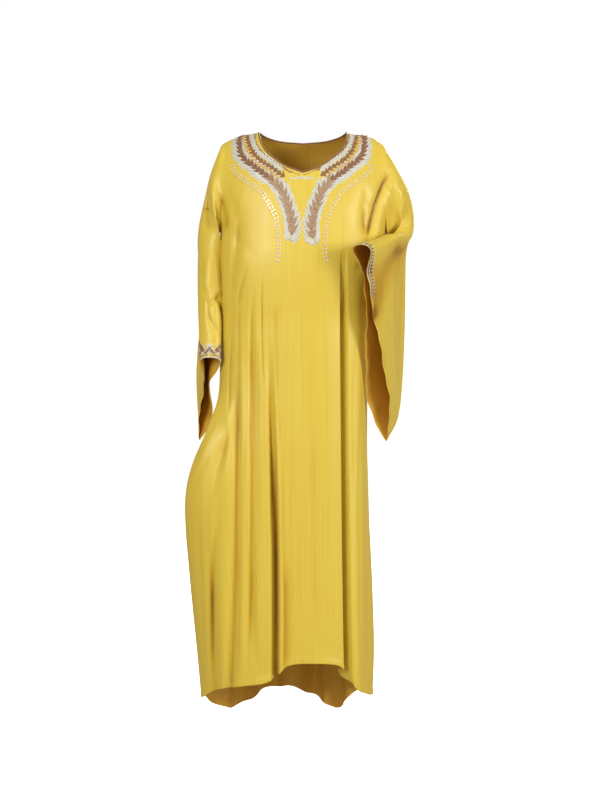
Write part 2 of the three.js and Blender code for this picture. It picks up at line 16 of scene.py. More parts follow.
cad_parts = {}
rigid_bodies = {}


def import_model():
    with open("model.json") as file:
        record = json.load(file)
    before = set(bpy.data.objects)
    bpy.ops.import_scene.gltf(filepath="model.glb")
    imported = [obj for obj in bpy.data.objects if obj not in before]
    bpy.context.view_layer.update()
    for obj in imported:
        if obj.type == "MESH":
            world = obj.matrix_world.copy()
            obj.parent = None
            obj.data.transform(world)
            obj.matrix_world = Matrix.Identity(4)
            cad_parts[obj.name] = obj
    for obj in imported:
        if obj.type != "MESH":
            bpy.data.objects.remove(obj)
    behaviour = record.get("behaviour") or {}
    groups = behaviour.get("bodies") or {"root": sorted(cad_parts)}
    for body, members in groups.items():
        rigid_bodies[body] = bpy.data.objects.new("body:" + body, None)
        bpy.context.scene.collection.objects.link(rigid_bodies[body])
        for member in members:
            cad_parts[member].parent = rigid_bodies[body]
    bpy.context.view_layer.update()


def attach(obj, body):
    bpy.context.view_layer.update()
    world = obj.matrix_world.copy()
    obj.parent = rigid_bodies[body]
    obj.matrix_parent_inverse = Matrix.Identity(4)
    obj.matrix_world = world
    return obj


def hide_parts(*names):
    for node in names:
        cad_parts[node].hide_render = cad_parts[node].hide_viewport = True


LOG = logging.getLogger("boubou")
MM = 0.001
Grid = np.ndarray
Table = dict[str, np.ndarray]
Material = bpy.types.Material
Object = bpy.types.Object
Socket = bpy.types.NodeSocket
Tree = bpy.types.NodeTree


class Named(Enum):
    """Enum whose names are also used in tables and in the names of pieces."""

    @property
    def word(self) -> str:
        """The name in small letters."""
        return self.name.lower()


class Face(Named):
    """Side of the garment that a panel or a sleeve's lobe lies on."""

    FRONT = -1
    BACK = 1


class Side(Named):
    """The wearer's side."""

    RIGHT = -1
    LEFT = 1


class Barbs(Enum):
    """Sides of a stem that carry leaves: away from the neckline, or both."""

    OUTER = (1,)
    BOTH = (1, -1)


class Repeat(Enum):
    """Small shapes that are set along the cloth."""

    STONE = "stone"
    STITCH = "stitch"


# Small helpers


def table(names: str, *rows: tuple[float, ...]) -> Table:
    """Field whose default is a table of millimetres, its columns by the names in its first line."""
    return field(default_factory=lambda: dict(zip(names.split(), np.array(rows, float).T)))


def ease(value: Grid | float) -> Grid:
    """Smooth step from 0 to 1."""
    t = np.clip(value, 0, 1)
    return t * t * (3 - 2 * t)


def lerp(start: Grid | float, end: Grid | float, share: Grid | float) -> Grid:
    """Place between two values."""
    return start + (end - start) * share


def power(value: Grid | float, exponent: float) -> Grid:
    """Power that keeps the sign of its base."""
    return np.sign(value) * np.abs(value) ** exponent


def read(rows: Table, key: str, column: str, at: Grid | float) -> Grid:
    """Reads a column of a table on a smooth curve.

    Args:
        rows: The table.
        key: Name of the column that says where each row lies.
        column: Name of the column to read.
        at: Places along the key column.

    Returns:
        The values at those places.
    """
    keys, values, at = rows[key], rows[column], np.asarray(at, float)
    if keys[-1] < keys[0]:
        keys, at = -keys, -at
    i = np.clip(np.searchsorted(keys, at, side="right") - 1, 0, len(keys) - 2)
    before = np.maximum(np.arange(len(keys)) - 1, 0)
    after = np.minimum(np.arange(len(keys)) + 1, len(keys) - 1)
    slope = (values[after] - values[before]) / (keys[after] - keys[before])
    span = keys[i + 1] - keys[i]
    t = np.clip((at - keys[i]) / span, 0, 1)
    t2, t3 = t * t, t * t * t
    start = (2 * t3 - 3 * t2 + 1) * values[i] + (t3 - 2 * t2 + t) * slope[i] * span
    return start + (3 * t2 - 2 * t3) * values[i + 1] + (t3 - t2) * slope[i + 1] * span


def way_along(grid: Grid, axis: int) -> Grid:
    """Way so far between the points of a grid along one of its axes."""
    steps = np.linalg.norm(np.diff(grid, axis=axis), axis=-1)
    return np.cumsum(np.concatenate([np.zeros_like(steps.take([0], axis)), steps], axis), axis)


def linear(code: str) -> tuple[float, float, float, float]:
    """Turns an sRGB hex colour into linear red, green, blue and alpha."""
    parts = [int(code[i : i + 2], 16) / 255 for i in (1, 3, 5)]
    return tuple(p / 12.92 if p <= 0.04045 else ((p + 0.055) / 1.055) ** 2.4 for p in parts) + (1.0,)


# Nodes and objects


def feed(node: bpy.types.Node, **inputs: object) -> bpy.types.Node:
    """Sets or links a node's inputs by name; an underscore stands for a space, and i2 for input 2."""
    for name, value in inputs.items():
        place = int(name[1:]) if name[0] == "i" and name[1:].isdigit() else name.replace("_", " ")
        if isinstance(value, Socket):
            node.id_data.links.new(value, node.inputs[place])
        else:
            node.inputs[place].default_value = value
    return node


def add_node(tree: Tree, kind: str, sets: dict | None = None, **inputs: object) -> bpy.types.Node:
    """Adds a node.

    Args:
        tree: Tree that gets the node.
        kind: Blender's name of the node type.
        sets: The node's own properties.
        **inputs: Values or sockets for its inputs, as feed takes them.

    Returns:
        The node.
    """
    node = tree.nodes.new(kind)
    for name, value in (sets or {}).items():
        setattr(node, name, value)
    return feed(node, **inputs)


def ramp(tree: Tree, value: Socket, *stops: tuple[float, str]) -> Socket:
    """Colour that follows a value along its stops: the first, the last, then one between."""
    node = add_node(tree, "ShaderNodeValToRGB", Fac=value)
    elements = node.color_ramp.elements
    for i, (place, code) in enumerate(stops):
        element = elements[i] if i < 2 else elements.new(place)
        element.position, element.color = place, linear(code)
    return node.outputs[0]


def new_material(name: str) -> tuple[Material, Tree, bpy.types.Node]:
    """Makes a material and gives it, its tree and its shader."""
    material = bpy.data.materials.new(name)
    material.use_nodes = True
    return material, material.node_tree, material.node_tree.nodes["Principled BSDF"]


def add_object(name: str, data: bpy.types.ID) -> Object:
    """Puts a mesh, a light or a camera into the scene."""
    item = bpy.data.objects.new(name, data)
    bpy.context.scene.collection.objects.link(item)
    return item


def make_object(
    name: str,
    points: Grid,
    faces: list,
    materials: list[Material],
    corner_map: Grid | None = None,
    trough: Grid | None = None,
) -> Object:
    """Makes a smooth mesh object at the origin.

    Args:
        name: Name of the object.
        points: Its points in millimetres.
        faces: Its faces, looking outwards.
        materials: Its materials.
        corner_map: Map of each face corner in millimetres, if it has one.
        trough: How far each point lies in a trough, if it is cloth; the satin paints shade by it.

    Returns:
        The object.
    """
    mesh = bpy.data.meshes.new(name)
    mesh.from_pydata((np.asarray(points) * MM).tolist(), [], [list(map(int, face)) for face in faces])
    if corner_map is not None:
        layer = mesh.uv_layers.new(name="cloth")
        layer.data.foreach_set("uv", (np.asarray(corner_map).reshape(-1) * MM).astype(np.float32))
    if trough is not None:
        layer = mesh.attributes.new("trough", "FLOAT", "POINT")
        layer.data.foreach_set("value", trough.astype(np.float32))
    for material in materials:
        mesh.materials.append(material)
    mesh.polygons.foreach_set("use_smooth", [True] * len(mesh.polygons))
    mesh.update()
    return add_object(name, mesh)


def turn_outwards(item: Object) -> None:
    """Makes the faces of closed shapes look outwards."""
    work = bmesh.new()
    work.from_mesh(item.data)
    bmesh.ops.recalc_face_normals(work, faces=work.faces)
    work.to_mesh(item.data)
    work.free()


# Finishes


@dataclass(frozen=True)
class Satin:
    """Woven polyester satin: long floats on the face give it broad soft highlights and fine warp lines."""

    name: str
    light: str
    base: str
    dark: str
    # Painted shade in the folds: the colours halfway down and at the bottom of a trough
    troughs: tuple[str, str] = ("#efdca0", "#96702c")
    roughness: float = 0.4
    sheen: float = 0.12
    warp_mm: tuple[float, float] = (1.3, 210.0)  # real threads are far finer; this is the finest that shows
    slub_mm: tuple[float, float] = (4.5, 420.0)
    weft_mm: tuple[float, float] = (260.0, 5.0)
    shares: tuple[float, float, float] = (0.45, 0.55, 0.25)  # warp and slub in colour, weft in relief

    def make(self) -> Material:
        """Makes the material; its pattern follows the cloth's own map, in metres, and it paints shade into the
        folds.
        """
        material, tree, shader = new_material(self.name)
        place = add_node(tree, "ShaderNodeUVMap", {"uv_map": "cloth"}).outputs[0]

        def streaks(sizes_mm: tuple[float, float], detail: float) -> Socket:
            """Noise drawn out along the warp or the weft."""
            scale = (1000 / sizes_mm[0], 1000 / sizes_mm[1], 1.0)
            vector = add_node(tree, "ShaderNodeMapping", Vector=place, Scale=scale).outputs[0]
            flat = {"noise_dimensions": "2D"}
            noise = add_node(tree, "ShaderNodeTexNoise", flat, Vector=vector, Scale=1.0, Detail=detail)
            return noise.outputs[0]

        def weighed(value: Socket, weight: float, rest: Socket | float) -> Socket:
            """A value times its weight, plus the rest."""
            sets = {"operation": "MULTIPLY_ADD"}
            return add_node(tree, "ShaderNodeMath", sets, i0=value, i1=weight, i2=rest).outputs[0]

        warp, slub, weft = streaks(self.warp_mm, 2.0), streaks(self.slub_mm, 3.0), streaks(self.weft_mm, 2.0)
        mixed = weighed(slub, self.shares[1], weighed(warp, self.shares[0], 0.0))
        colour = ramp(tree, mixed, (0.3, self.dark), (0.7, self.light), (0.5, self.base))
        # Painted shade: the colour darkens towards brown the deeper a point lies in a fold, in place of the
        # shade and bounced light there
        hollow = add_node(tree, "ShaderNodeAttribute", {"attribute_name": "trough"}).outputs["Fac"]
        painted_fold_shade = ramp(tree, hollow, (0.0, "#ffffff"), (1.0, self.troughs[1]), (0.5, self.troughs[0]))
        multiply = {"data_type": "RGBA", "blend_type": "MULTIPLY"}
        colour_with_painted_shade = add_node(tree, "ShaderNodeMix", multiply, i0=1.0, i6=colour, i7=painted_fold_shade).outputs[2]
        low, high = self.roughness - 0.05, self.roughness + 0.07
        gloss = add_node(tree, "ShaderNodeMapRange", i0=slub, i1=0.3, i2=0.7, i3=low, i4=high).outputs[0]
        relief = weighed(weft, self.shares[2], mixed)
        bump = add_node(tree, "ShaderNodeBump", Height=relief, Strength=0.16, Distance=0.0004).outputs[0]
        along = {"direction_type": "UV_MAP", "uv_map": "cloth"}
        tangent = add_node(tree, "ShaderNodeTangent", along).outputs[0]
        feed(shader, Base_Color=colour_with_painted_shade, Roughness=gloss, Normal=bump, Tangent=tangent)
        feed(shader, Anisotropic=0.35, IOR=1.5)
        feed(shader, Sheen_Weight=self.sheen, Sheen_Roughness=0.4, Sheen_Tint=linear("#fff2b8"))
        return material


@dataclass(frozen=True)
class Thread:
    """Rayon embroidery thread in satin stitch: fine parallel strands that catch the light along the leaf."""

    name: str
    base: str
    dark: str
    roughness: float = 0.45
    strand_mm: float = 1.1  # real strands are 0.4 mm; drawn as coarse as shows
    tilt: float = math.radians(35)

    def make(self) -> Material:
        """Makes the material, with strands across Object coordinates."""
        material, tree, shader = new_material(self.name)
        place = add_node(tree, "ShaderNodeTexCoord").outputs["Object"]
        turn, scale = (0.0, self.tilt, 0.0), (1.0, 1.0, 0.25)
        turned = add_node(tree, "ShaderNodeMapping", Vector=place, Rotation=turn, Scale=scale).outputs[0]
        fine = 1000 / self.strand_mm
        noise = add_node(tree, "ShaderNodeTexNoise", Vector=turned, Scale=fine, Detail=2.0).outputs[0]
        bump = add_node(tree, "ShaderNodeBump", Height=noise, Strength=0.5, Distance=0.0004).outputs[0]
        colour = ramp(tree, noise, (0.35, self.dark), (0.62, self.base))
        feed(shader, Base_Color=colour, Normal=bump, Roughness=self.roughness, Sheen_Weight=0.3)
        return material


@dataclass(frozen=True)
class FoiledGlass:
    """Cut glass with a foil back: small bright facets."""

    name: str = "foiled_glass"
    base: str = "#fbf6fc"
    tint: str = "#e6d6e4"

    def make(self) -> Material:
        """Makes the material; a slow noise tints the foil from stone to stone."""
        material, tree, shader = new_material(self.name)
        place = add_node(tree, "ShaderNodeTexCoord").outputs["Object"]
        noise = add_node(tree, "ShaderNodeTexNoise", Vector=place, Scale=260.0).outputs[0]
        colour = ramp(tree, noise, (0.0, self.tint), (1.0, self.base))
        feed(shader, Base_Color=colour, Metallic=0.3, Roughness=0.12, Coat_Weight=1.0)
        return material


SATIN_FACE = Satin("mustard_satin", "#dbc34d", "#d7bf48", "#d2b841")
# The reverse gets a paler painted shade in its folds
SATIN_REVERSE = Satin(
    "mustard_satin_reverse", "#deb244", "#d8ab3f", "#d0a238", ("#f8eed8", "#ead9b4"), roughness=0.6, sheen=0.0
)
BROWN = Thread("brown_embroidery_thread", "#9a6a48", "#64402a")
TAUPE = Thread("taupe_metallic_thread", "#b79a7c", "#856a50", roughness=0.35)
WHITE = Thread("silver_white_thread", "#dddfdb", "#a3a7a2", roughness=0.38)
GOLD = Thread("gold_thread", "#dcb53c", "#b88a20", roughness=0.4)


# The worn form


@dataclass
class WornForm:
    """Middle surface of the cloth in millimetres, worked out from its sizes on a fine net of points."""

    squareness: float = 2.4
    shoulder_z: float = -33
    underarm_z: float = -250
    armhole_half: float = 46
    armhole_round: tuple[float, float] = (0.6, 1.2)  # at the seam, and away from it
    arm_slope: float = 0.8
    arm_fade: float = 60
    seam_reach: float = 0.3
    least_width: float = 0.45
    ring_round: float = 34
    ring_trail: float = 1.6  # how far a ring narrows below the arm, in radii
    flap_round: tuple[float, float] = (2.6, 0.9)
    flap_start: float = 0.3
    least_flap: float = 2.5
    soft_side: tuple[float, float] = (150, 236)
    soft_height: tuple[float, float] = (-400, -60)
    soft_reach: float = 30
    soft_passes: int = 45
    armhole_rows: int = 48
    row_crowding: float = 1.3
    skirt_rows: int = 150
    skirt_length: float = 1150
    hem_rows: int = 6
    hem_depth: float = 15
    shoulder_columns: int = 18
    angle_steps: int = 400
    side_density: float = 0.4
    fold_spread: float = 1.5
    ridge_steps: int = 30
    arm_join: float = 0.27
    arm_rows: int = 26
    sleeve_rows: int = 96
    crease_ends: tuple[float, float] = (0.25, 0.4)  # how far past its ends a crease runs, and its fade
    levels: Table = table(
        "z right left front back right_y left_y",
        (4, 96, 90, 8, 8, 0, 0),
        (-2, 118, 112, 24, 26, 0, 0),
        (-8, 150, 158, 36, 40, 0, 0),
        (-20, 183, 184, 52, 56, 0, 0),
        (-33, 203, 200, 64, 68, 0, 0),
        (-60, 206, 204, 82, 86, 0, 0),
        (-104, 203, 203, 102, 102, 0, 0),
        (-160, 201, 202, 118, 113, 0, 0),
        (-240, 207, 206.5, 133, 118, 0, 0),
        (-295, 212, 212, 141, 118, 0, 0),
        (-350, 212, 199, 143, 115, 0, 0),
        (-400, 210, 182, 142, 111, 0, 0),
        (-450, 209, 168, 140, 108, 0, 0),
        (-520, 210, 166, 141, 109, -4, 0),
        (-580, 209, 164, 142, 110, -8, 0),
        (-660, 213, 162, 144, 114, -30, 0),
        (-722, 232, 162, 146, 118, -46, 0),
        (-773, 256, 162, 148, 122, -52, 0),
        (-824, 277, 163, 149, 126, -54, 0),
        (-875, 291, 165, 150, 130, -50, 0),
        (-926, 297, 167, 151, 134, -44, 0),
        (-1000, 296, 170, 153, 140, -34, 0),
        (-1100, 289, 175, 156, 148, -22, 0),
        (-1200, 281, 179, 159, 158, -12, 0),
        (-1310, 271, 182, 162, 170, -4, 4),
        (-1430, 261, 178, 164, 184, 0, 8),
        (-1530, 252, 172, 165, 194, 0, 8),
    )
    right_rings: Table = table(
        "share top_x top_y top_z low_x low_y low_z turn front_r back_r front_slack back_slack late",
        (0, -203, 0, -33, -196, 0, -250, -90, 46, 46, 0, 0, 1),
        (0.15, -232, -6, -112, -208, 3, -304, -84, 46, 42, 0, 0, 1),
        (0.34, -247, -20, -236, -221, 36, -340, -48, 50, 34, 0, 2, 1),
        (0.55, -244, -48, -346, -242, 92, -410, -42, 54, 26, 2, 8, 1.1),
        (0.8, -236, -76, -470, -264, 110, -624, -22, 39, 22, 10, 14, 1.2),
        (1, -231, -90, -556, -267, 88, -784, -8, 29, 23, 22, 4, 1.2),
    )
    left_rings: Table = table(
        "share top_x top_y top_z low_x low_y low_z turn front_r back_r front_slack back_slack late",
        (0, 200, 0, -33, 196, 0, -250, -90, 46, 46, 0, 0, 1),
        (0.14, 232, 0, -84, 207, 2, -318, -98, 46, 42, 0, 0, 1),
        (0.28, 263, 2, -148, 230, 34, -342, -108, 42, 36, 0, 2, 1),
        (0.41, 267, 0, -212, 244, 78, -372, -126, 43, 26, 2, 4, 1.1),
        (0.54, 251, -34, -248, 255, 94, -470, -152, 58, 20, 4, 5, 1.2),
        (0.7, 212, -94, -250, 253, 60, -620, -188, 34, 22, 12, 5, 1.2),
        (0.85, 173, -160, -264, 240, 4, -716, -203, 32, 26, 20, 8, 1.15),
        (1, 138, -222, -274, 208, -60, -768, -206, 26, 24, 34, 18, 1.1),
    )
    sleeve_creases: Table = table(
        "side lobe around_a along_a around_b along_b half depth",
        (-1, -1, 0.05, 0.62, 0.42, 0.8, 0.05, 8),
        (-1, 1, 0.15, 0.4, 0.7, 0.7, 0.07, 6),
        (-1, 1, 0.3, 0.75, 0.8, 0.95, 0.07, 5),
        (1, -1, 0.16, 0.24, 0.46, 0.12, 0.07, 6),
        (1, 1, 0.2, 0.5, 0.8, 0.8, 0.07, 7),
        (1, 1, 0.1, 0.75, 0.4, 0.95, 0.06, 5),
        # Smaller ones
        (-1, -1, 0.3, 0.3, 0.7, 0.42, 0.03, 2.5),
        (-1, -1, 0.25, 0.46, 0.6, 0.6, 0.025, 2.2),
        (-1, -1, 0.55, 0.55, 0.8, 0.9, 0.03, 2.5),
        (-1, -1, 0.2, 0.86, 0.5, 0.98, 0.03, 2),
        (-1, 1, 0.4, 0.3, 0.8, 0.5, 0.03, 2.5),
        (-1, 1, 0.5, 0.6, 0.9, 0.85, 0.03, 2.5),
        (1, -1, 0.3, 0.34, 0.7, 0.3, 0.03, 2.5),
        (1, -1, 0.1, 0.4, 0.5, 0.5, 0.035, 3),
        (1, -1, 0.15, 0.52, 0.75, 0.66, 0.03, 2.6),
        (1, -1, 0.3, 0.66, 0.9, 0.74, 0.03, 2.4),
        (1, -1, 0.12, 0.82, 0.7, 0.84, 0.025, 2),
        (1, 1, 0.3, 0.36, 0.8, 0.5, 0.03, 3),
        (1, 1, 0.4, 0.7, 0.9, 0.82, 0.03, 2.6),
    )

    def share_down(self, step: Grid) -> Grid:
        """Share of the armhole's height at a row, closer together at the top."""
        return (step / self.armhole_rows) ** self.row_crowding

    def armhole_depth(self, z: Grid, away: bool = False) -> Grid:
        """Half depth of the armhole at a height; away from the seam it ends gently, above the underarm."""
        low = self.underarm_z - self.arm_fade if away else self.underarm_z
        t = np.clip((z - self.shoulder_z) / (low - self.shoulder_z), 0, 1)
        return self.armhole_half * np.sin(np.pi * t) ** self.armhole_round[away]

    def half_width(self, x: Grid, z: Grid) -> Grid:
        """Half width of the body on the side of x at a height."""
        right = read(self.levels, "z", "right", z)
        return np.where(np.asarray(x) < 0, right, read(self.levels, "z", "left", z))

    def angle_of(self, x: Grid, z: Grid) -> Grid:
        """Angle round the body, 0 at the wearer's left side, of a place across."""
        return np.arccos(power(np.clip(x / self.half_width(x, z), -1, 1), self.squareness / 2))

    @staticmethod
    def fold_place(folds: Table, z: Grid) -> Grid:
        """Place across of each fold's middle at heights, one column per fold."""
        z = np.asarray(z, float)[..., None]
        t = np.clip((z - folds["top_z"]) / (folds["low_z"] - folds["top_z"]), 0, 1)
        return lerp(folds["top_x"], folds["low_x"], t) + folds["bow"] * 4 * t * (1 - t)

    def fold_depth(self, folds: Table, x: Grid, z: Grid) -> Grid:
        """How far the folds move the cloth inwards at places on a panel."""
        away = np.abs(x[..., None] - self.fold_place(folds, z)) / folds["half"]
        height = z[..., None]
        entering = ease((folds["top_z"] - height) / folds["fade_top"])
        fading = folds["fade_low"] > 0
        leaving = ease((height - folds["low_z"]) / np.where(fading, folds["fade_low"], 1))
        leaving = np.where(fading, leaving, 1)
        return (folds["depth"] * entering * leaving * np.exp(-(away ** folds["flat"]))).sum(-1)

    def body_point(self, face: Face, folds: Table, angle: Grid, z: Grid) -> Grid:
        """Points of a body panel.

        Args:
            face: Front or back.
            folds: The panel's folds.
            angle: Angles round the body.
            z: Heights.

        Returns:
            Points, with x, y and z last.
        """
        levels = self.levels
        across = power(np.cos(angle), 2 / self.squareness)
        at_arm = ease((z - self.underarm_z) / (2 * self.arm_fade) + 0.5)
        out = np.abs(np.sin(angle)) ** (2 * lerp(1 / self.squareness, self.arm_slope, at_arm))
        width = self.half_width(across, z)
        depth = read(levels, "z", face.word, z)
        middle = np.where(across < 0, read(levels, "z", "right_y", z), read(levels, "z", "left_y", z))
        near = np.exp(-((np.sin(angle) / self.seam_reach) ** 2))
        edge = middle + face.value * lerp(self.armhole_depth(z, away=True), self.armhole_depth(z), near)
        x = across * width
        y = edge + (face.value * depth - edge) * out
        inwards = ease(np.abs(np.sin(angle)) / self.seam_reach) * self.fold_depth(folds, x, z)
        gx = power(across, self.squareness - 1) / width
        gy = face.value * out ** (self.squareness - 1) / np.maximum(depth, 1)
        size = np.maximum(np.hypot(gx, gy), 1e-9)
        return np.stack([x - gx / size * inwards, y - gy / size * inwards, np.broadcast_to(z, x.shape)], -1)

    def column_angles(self, folds: Table, columns: int, z: float) -> Grid:
        """Angles of the columns at a height, closer together at the deep folds and the side seams."""
        steps = self.angle_steps
        angle = (np.arange(steps) + 0.5) / steps * np.pi
        density = lerp(self.side_density, 1, np.sin(angle))
        for place, half, crowd in zip(self.fold_place(folds, z), folds["half"], folds["crowd"]):
            spread = self.fold_spread * half / self.half_width(place, z)
            density = density + crowd * np.exp(-(((angle - self.angle_of(place, z)) / spread) ** 2))
        total = np.concatenate([[0], np.cumsum(density)])
        wanted = total[-1] * np.arange(columns + 1) / columns
        return np.interp(wanted, total, np.arange(steps + 1) / steps) * np.pi

    def ridge_height(self, side: int, width: float) -> float:
        """Height at which the shoulder ridge has a half width."""
        low, high = self.shoulder_z, float(self.levels["z"][0])
        for _ in range(self.ridge_steps):
            middle = (high + low) / 2
            if self.half_width(side, middle) < width:
                high = middle
            else:
                low = middle
        return (high + low) / 2

    def top_edge(self, neck: Table, columns: int) -> tuple[Grid, Grid]:
        """Place across and height of each column along the shoulders and the neckline."""
        xs, zs = [], []
        for column in range(columns + 1):
            side = 1 if column < columns / 2 else -1
            from_edge = min(column, columns - column)
            if from_edge <= self.shoulder_columns:
                outer = float(self.half_width(side, self.shoulder_z))
                width = lerp(outer, neck["x"][0], from_edge / self.shoulder_columns)
                height = self.ridge_height(side, width) if from_edge else self.shoulder_z
            else:
                share = (from_edge - self.shoulder_columns) / (columns / 2 - self.shoulder_columns)
                width, height = float(read(neck, "share", "x", share)), float(read(neck, "share", "z", share))
            xs.append(side * width)
            zs.append(height)
        return np.array(xs), np.array(zs)

    def skirt_shares(self) -> Grid:
        """Shares of the way from underarm to hem, with a few close rows in the hem's turn-up."""
        last = 1 - self.hem_depth / self.skirt_length
        long = np.linspace(0, last, self.skirt_rows - self.hem_rows + 1)
        return np.concatenate([long[1:], np.linspace(last, 1, self.hem_rows + 1)[1:]])

    def body_grid(self, face: Face, folds: Table, neck: Table, hem: Table, columns: int) -> Grid:
        """Grid of points of a body panel.

        Args:
            face: Front or back.
            folds: The panel's folds.
            neck: The panel's neckline.
            hem: Height of its hem against the place across.
            columns: Columns from the wearer's left side to the right.

        Returns:
            Points by row and column.
        """
        top_x, top_z = self.top_edge(neck, columns)
        chest = self.column_angles(folds, columns, self.underarm_z)
        chest_x = power(np.cos(chest), 2 / self.squareness) * self.half_width(top_x, self.underarm_z)
        rows = []
        for row in range(self.armhole_rows + 1):
            t = self.share_down(row)
            z = lerp(top_z, self.underarm_z, t)
            angle = self.angle_of(lerp(top_x, chest_x, ease(t)), z)
            if row == 0:
                angle = np.where(np.abs(top_x) >= neck["x"][0] - 1e-6, np.where(top_x > 0, 0, np.pi), angle)
            angle[0], angle[-1] = 0, np.pi
            rows.append(self.body_point(face, folds, angle, z))
        for t in self.skirt_shares():
            middle = lerp(self.underarm_z, hem["z"][len(hem["z"]) // 2], t)
            angle = self.column_angles(folds, columns, middle)
            across = power(np.cos(angle), 2 / self.squareness)
            reach = np.where(across < 0, abs(hem["x"][0]), abs(hem["x"][-1]))
            bottom = read(hem, "x", "z", across * reach)
            rows.append(self.body_point(face, folds, angle, lerp(self.underarm_z, bottom, t)))
        return np.array(rows)

    def lobe_width(self, radius: Grid, slack: Grid, length: Grid, t: Grid) -> Grid:
        """Half width of a sleeve's ring at a share of its drop."""
        below = t * length
        round_arm = np.sqrt(np.maximum(radius**2 - (radius - below) ** 2, 0))
        trailing = radius * np.exp(-(((below - radius) / (self.ring_trail * radius)) ** 2))
        arm = np.where(below < radius, round_arm, trailing)
        low, blunt = self.flap_round
        flap = slack * np.sin(np.pi * t**low) ** blunt + self.least_flap * ease(t / self.flap_start)
        near_low = np.maximum(1 - (1 - t) * length / self.ring_round, 0)
        return (arm + flap) * np.sqrt(np.maximum(1 - near_low**2, 0))

    def ring_point(self, side: Side, lobe: Face, around: Grid, along: Grid, creased: bool = True) -> Grid:
        """Points of a sleeve by their share of the drop and of the length."""
        rings = self.right_rings if side is Side.RIGHT else self.left_rings

        def at(column: str) -> Grid:
            """One column of the rings at these shares of the length."""
            return read(rings, "share", column, along)

        top, low = (np.stack([at(f"{end}_{axis}") for axis in "xyz"], -1) for end in ("top", "low"))
        turn = np.radians(at("turn"))
        sideways = np.stack([np.cos(turn), np.sin(turn), np.zeros_like(turn)], -1) * -lobe.value
        radius, slack = at(f"{lobe.word}_r"), at(f"{lobe.word}_slack")
        width = self.lobe_width(radius, slack, np.linalg.norm(top - low, axis=-1), around)
        point = lerp(top, low, around[..., None])
        point[..., 2] = lerp(top[..., 2], low[..., 2], around ** at("late"))
        inwards = self.crease_depth(side, lobe, around, along) if creased else 0
        return point + sideways * np.maximum(width - inwards, width * self.least_width)[..., None]

    def crease_depth(self, side: Side, lobe: Face, around: Grid, along: Grid) -> Grid:
        """Depth of the creases at places on a sleeve."""
        c = self.sleeve_creases
        past, soft = self.crease_ends
        total = np.zeros(np.broadcast(around, along).shape)
        for i in np.flatnonzero((c["side"] == side.value) & (c["lobe"] == lobe.value)):
            run = np.array([c["around_b"][i] - c["around_a"][i], c["along_b"][i] - c["along_a"][i]])
            ox, oy = around - c["around_a"][i], along - c["along_a"][i]
            t = (ox * run[0] + oy * run[1]) / (run @ run)
            away = np.abs(ox * run[1] - oy * run[0]) / np.linalg.norm(run) / c["half"][i]
            fade = ease((t + past) / soft) * ease((1 + past - t) / soft)
            total = total + c["depth"][i] * fade * np.exp(-(away**2))
        return total

    def sleeve_grid(self, side: Side, lobe: Face) -> Grid:
        """Rings of one lobe from the armhole to the opening, each from crest to lowest point."""
        arm = np.linspace(0, self.arm_join, self.arm_rows + 1)
        bell = np.linspace(self.arm_join, 1, self.sleeve_rows + 1)[1:]
        step = np.arange(self.armhole_rows + 1)
        along, steps = np.meshgrid(np.concatenate([arm, bell]), step, indexing="ij")
        even = self.share_down(steps)
        rounded = (1 - np.cos(np.pi * steps / self.armhole_rows)) / 2
        leave = ease(along / self.arm_join)
        point = self.ring_point(side, lobe, lerp(even, rounded, leave), along)
        z = lerp(self.shoulder_z, self.underarm_z, even)
        x, y = side.value * self.half_width(side.value, z), lobe.value * self.armhole_depth(z)
        start = np.stack([x, y, z], -1)
        start = start - self.ring_point(side, lobe, even, np.zeros_like(along), creased=False)
        return point + start * (1 - leave)[..., None]


@dataclass
class Patch:
    """A grid of the net: numbers of its points, its map in millimetres, and which way it faces."""

    ids: Grid
    map: Grid
    turned: bool

    def cells(self, grid: Grid) -> Grid:
        """The four corners of each face, looking outwards, out of a grid of values."""
        a, b, c, d = grid[:-1, :-1], grid[:-1, 1:], grid[1:, 1:], grid[1:, :-1]
        corners = np.stack((a, b, c, d) if self.turned else (a, d, c, b), 2)
        return corners.reshape(-1, 4, *grid.shape[2:])


def panel_map(grid: Grid) -> Grid:
    """Map of a body panel in millimetres: the way across from its centre line, and the way down."""
    across = way_along(grid, 1)
    for row, places in zip(across, grid[..., 0]):
        row -= np.interp(0, places[::-1], row[::-1])
    return np.stack([across, way_along(grid, 0) - grid[0, :, 2]], -1)


def lobe_map(grid: Grid, start: Grid, hand: int) -> Grid:
    """Map of a sleeve's lobe that goes on from the panel's map at the armhole.

    Args:
        grid: Points of the lobe, a ring in each row.
        start: The panel's map down the armhole.
        hand: 1 where the way across grows away from the body, -1 where it falls.

    Returns:
        The map in millimetres; its threads run round the arm, as in a panel cut in one with its shoulder.
    """
    return np.stack([start[None, :, 0] + hand * way_along(grid, 0), start[0, 1] + way_along(grid, 1)], -1)


@dataclass(frozen=True)
class EdgeWave:
    """Uneven wave along an edge in millimetres: its way in and out, and two sines."""

    fade_in: float
    short: float
    short_height: float
    long: float
    long_height: float
    fade_out: float = 40


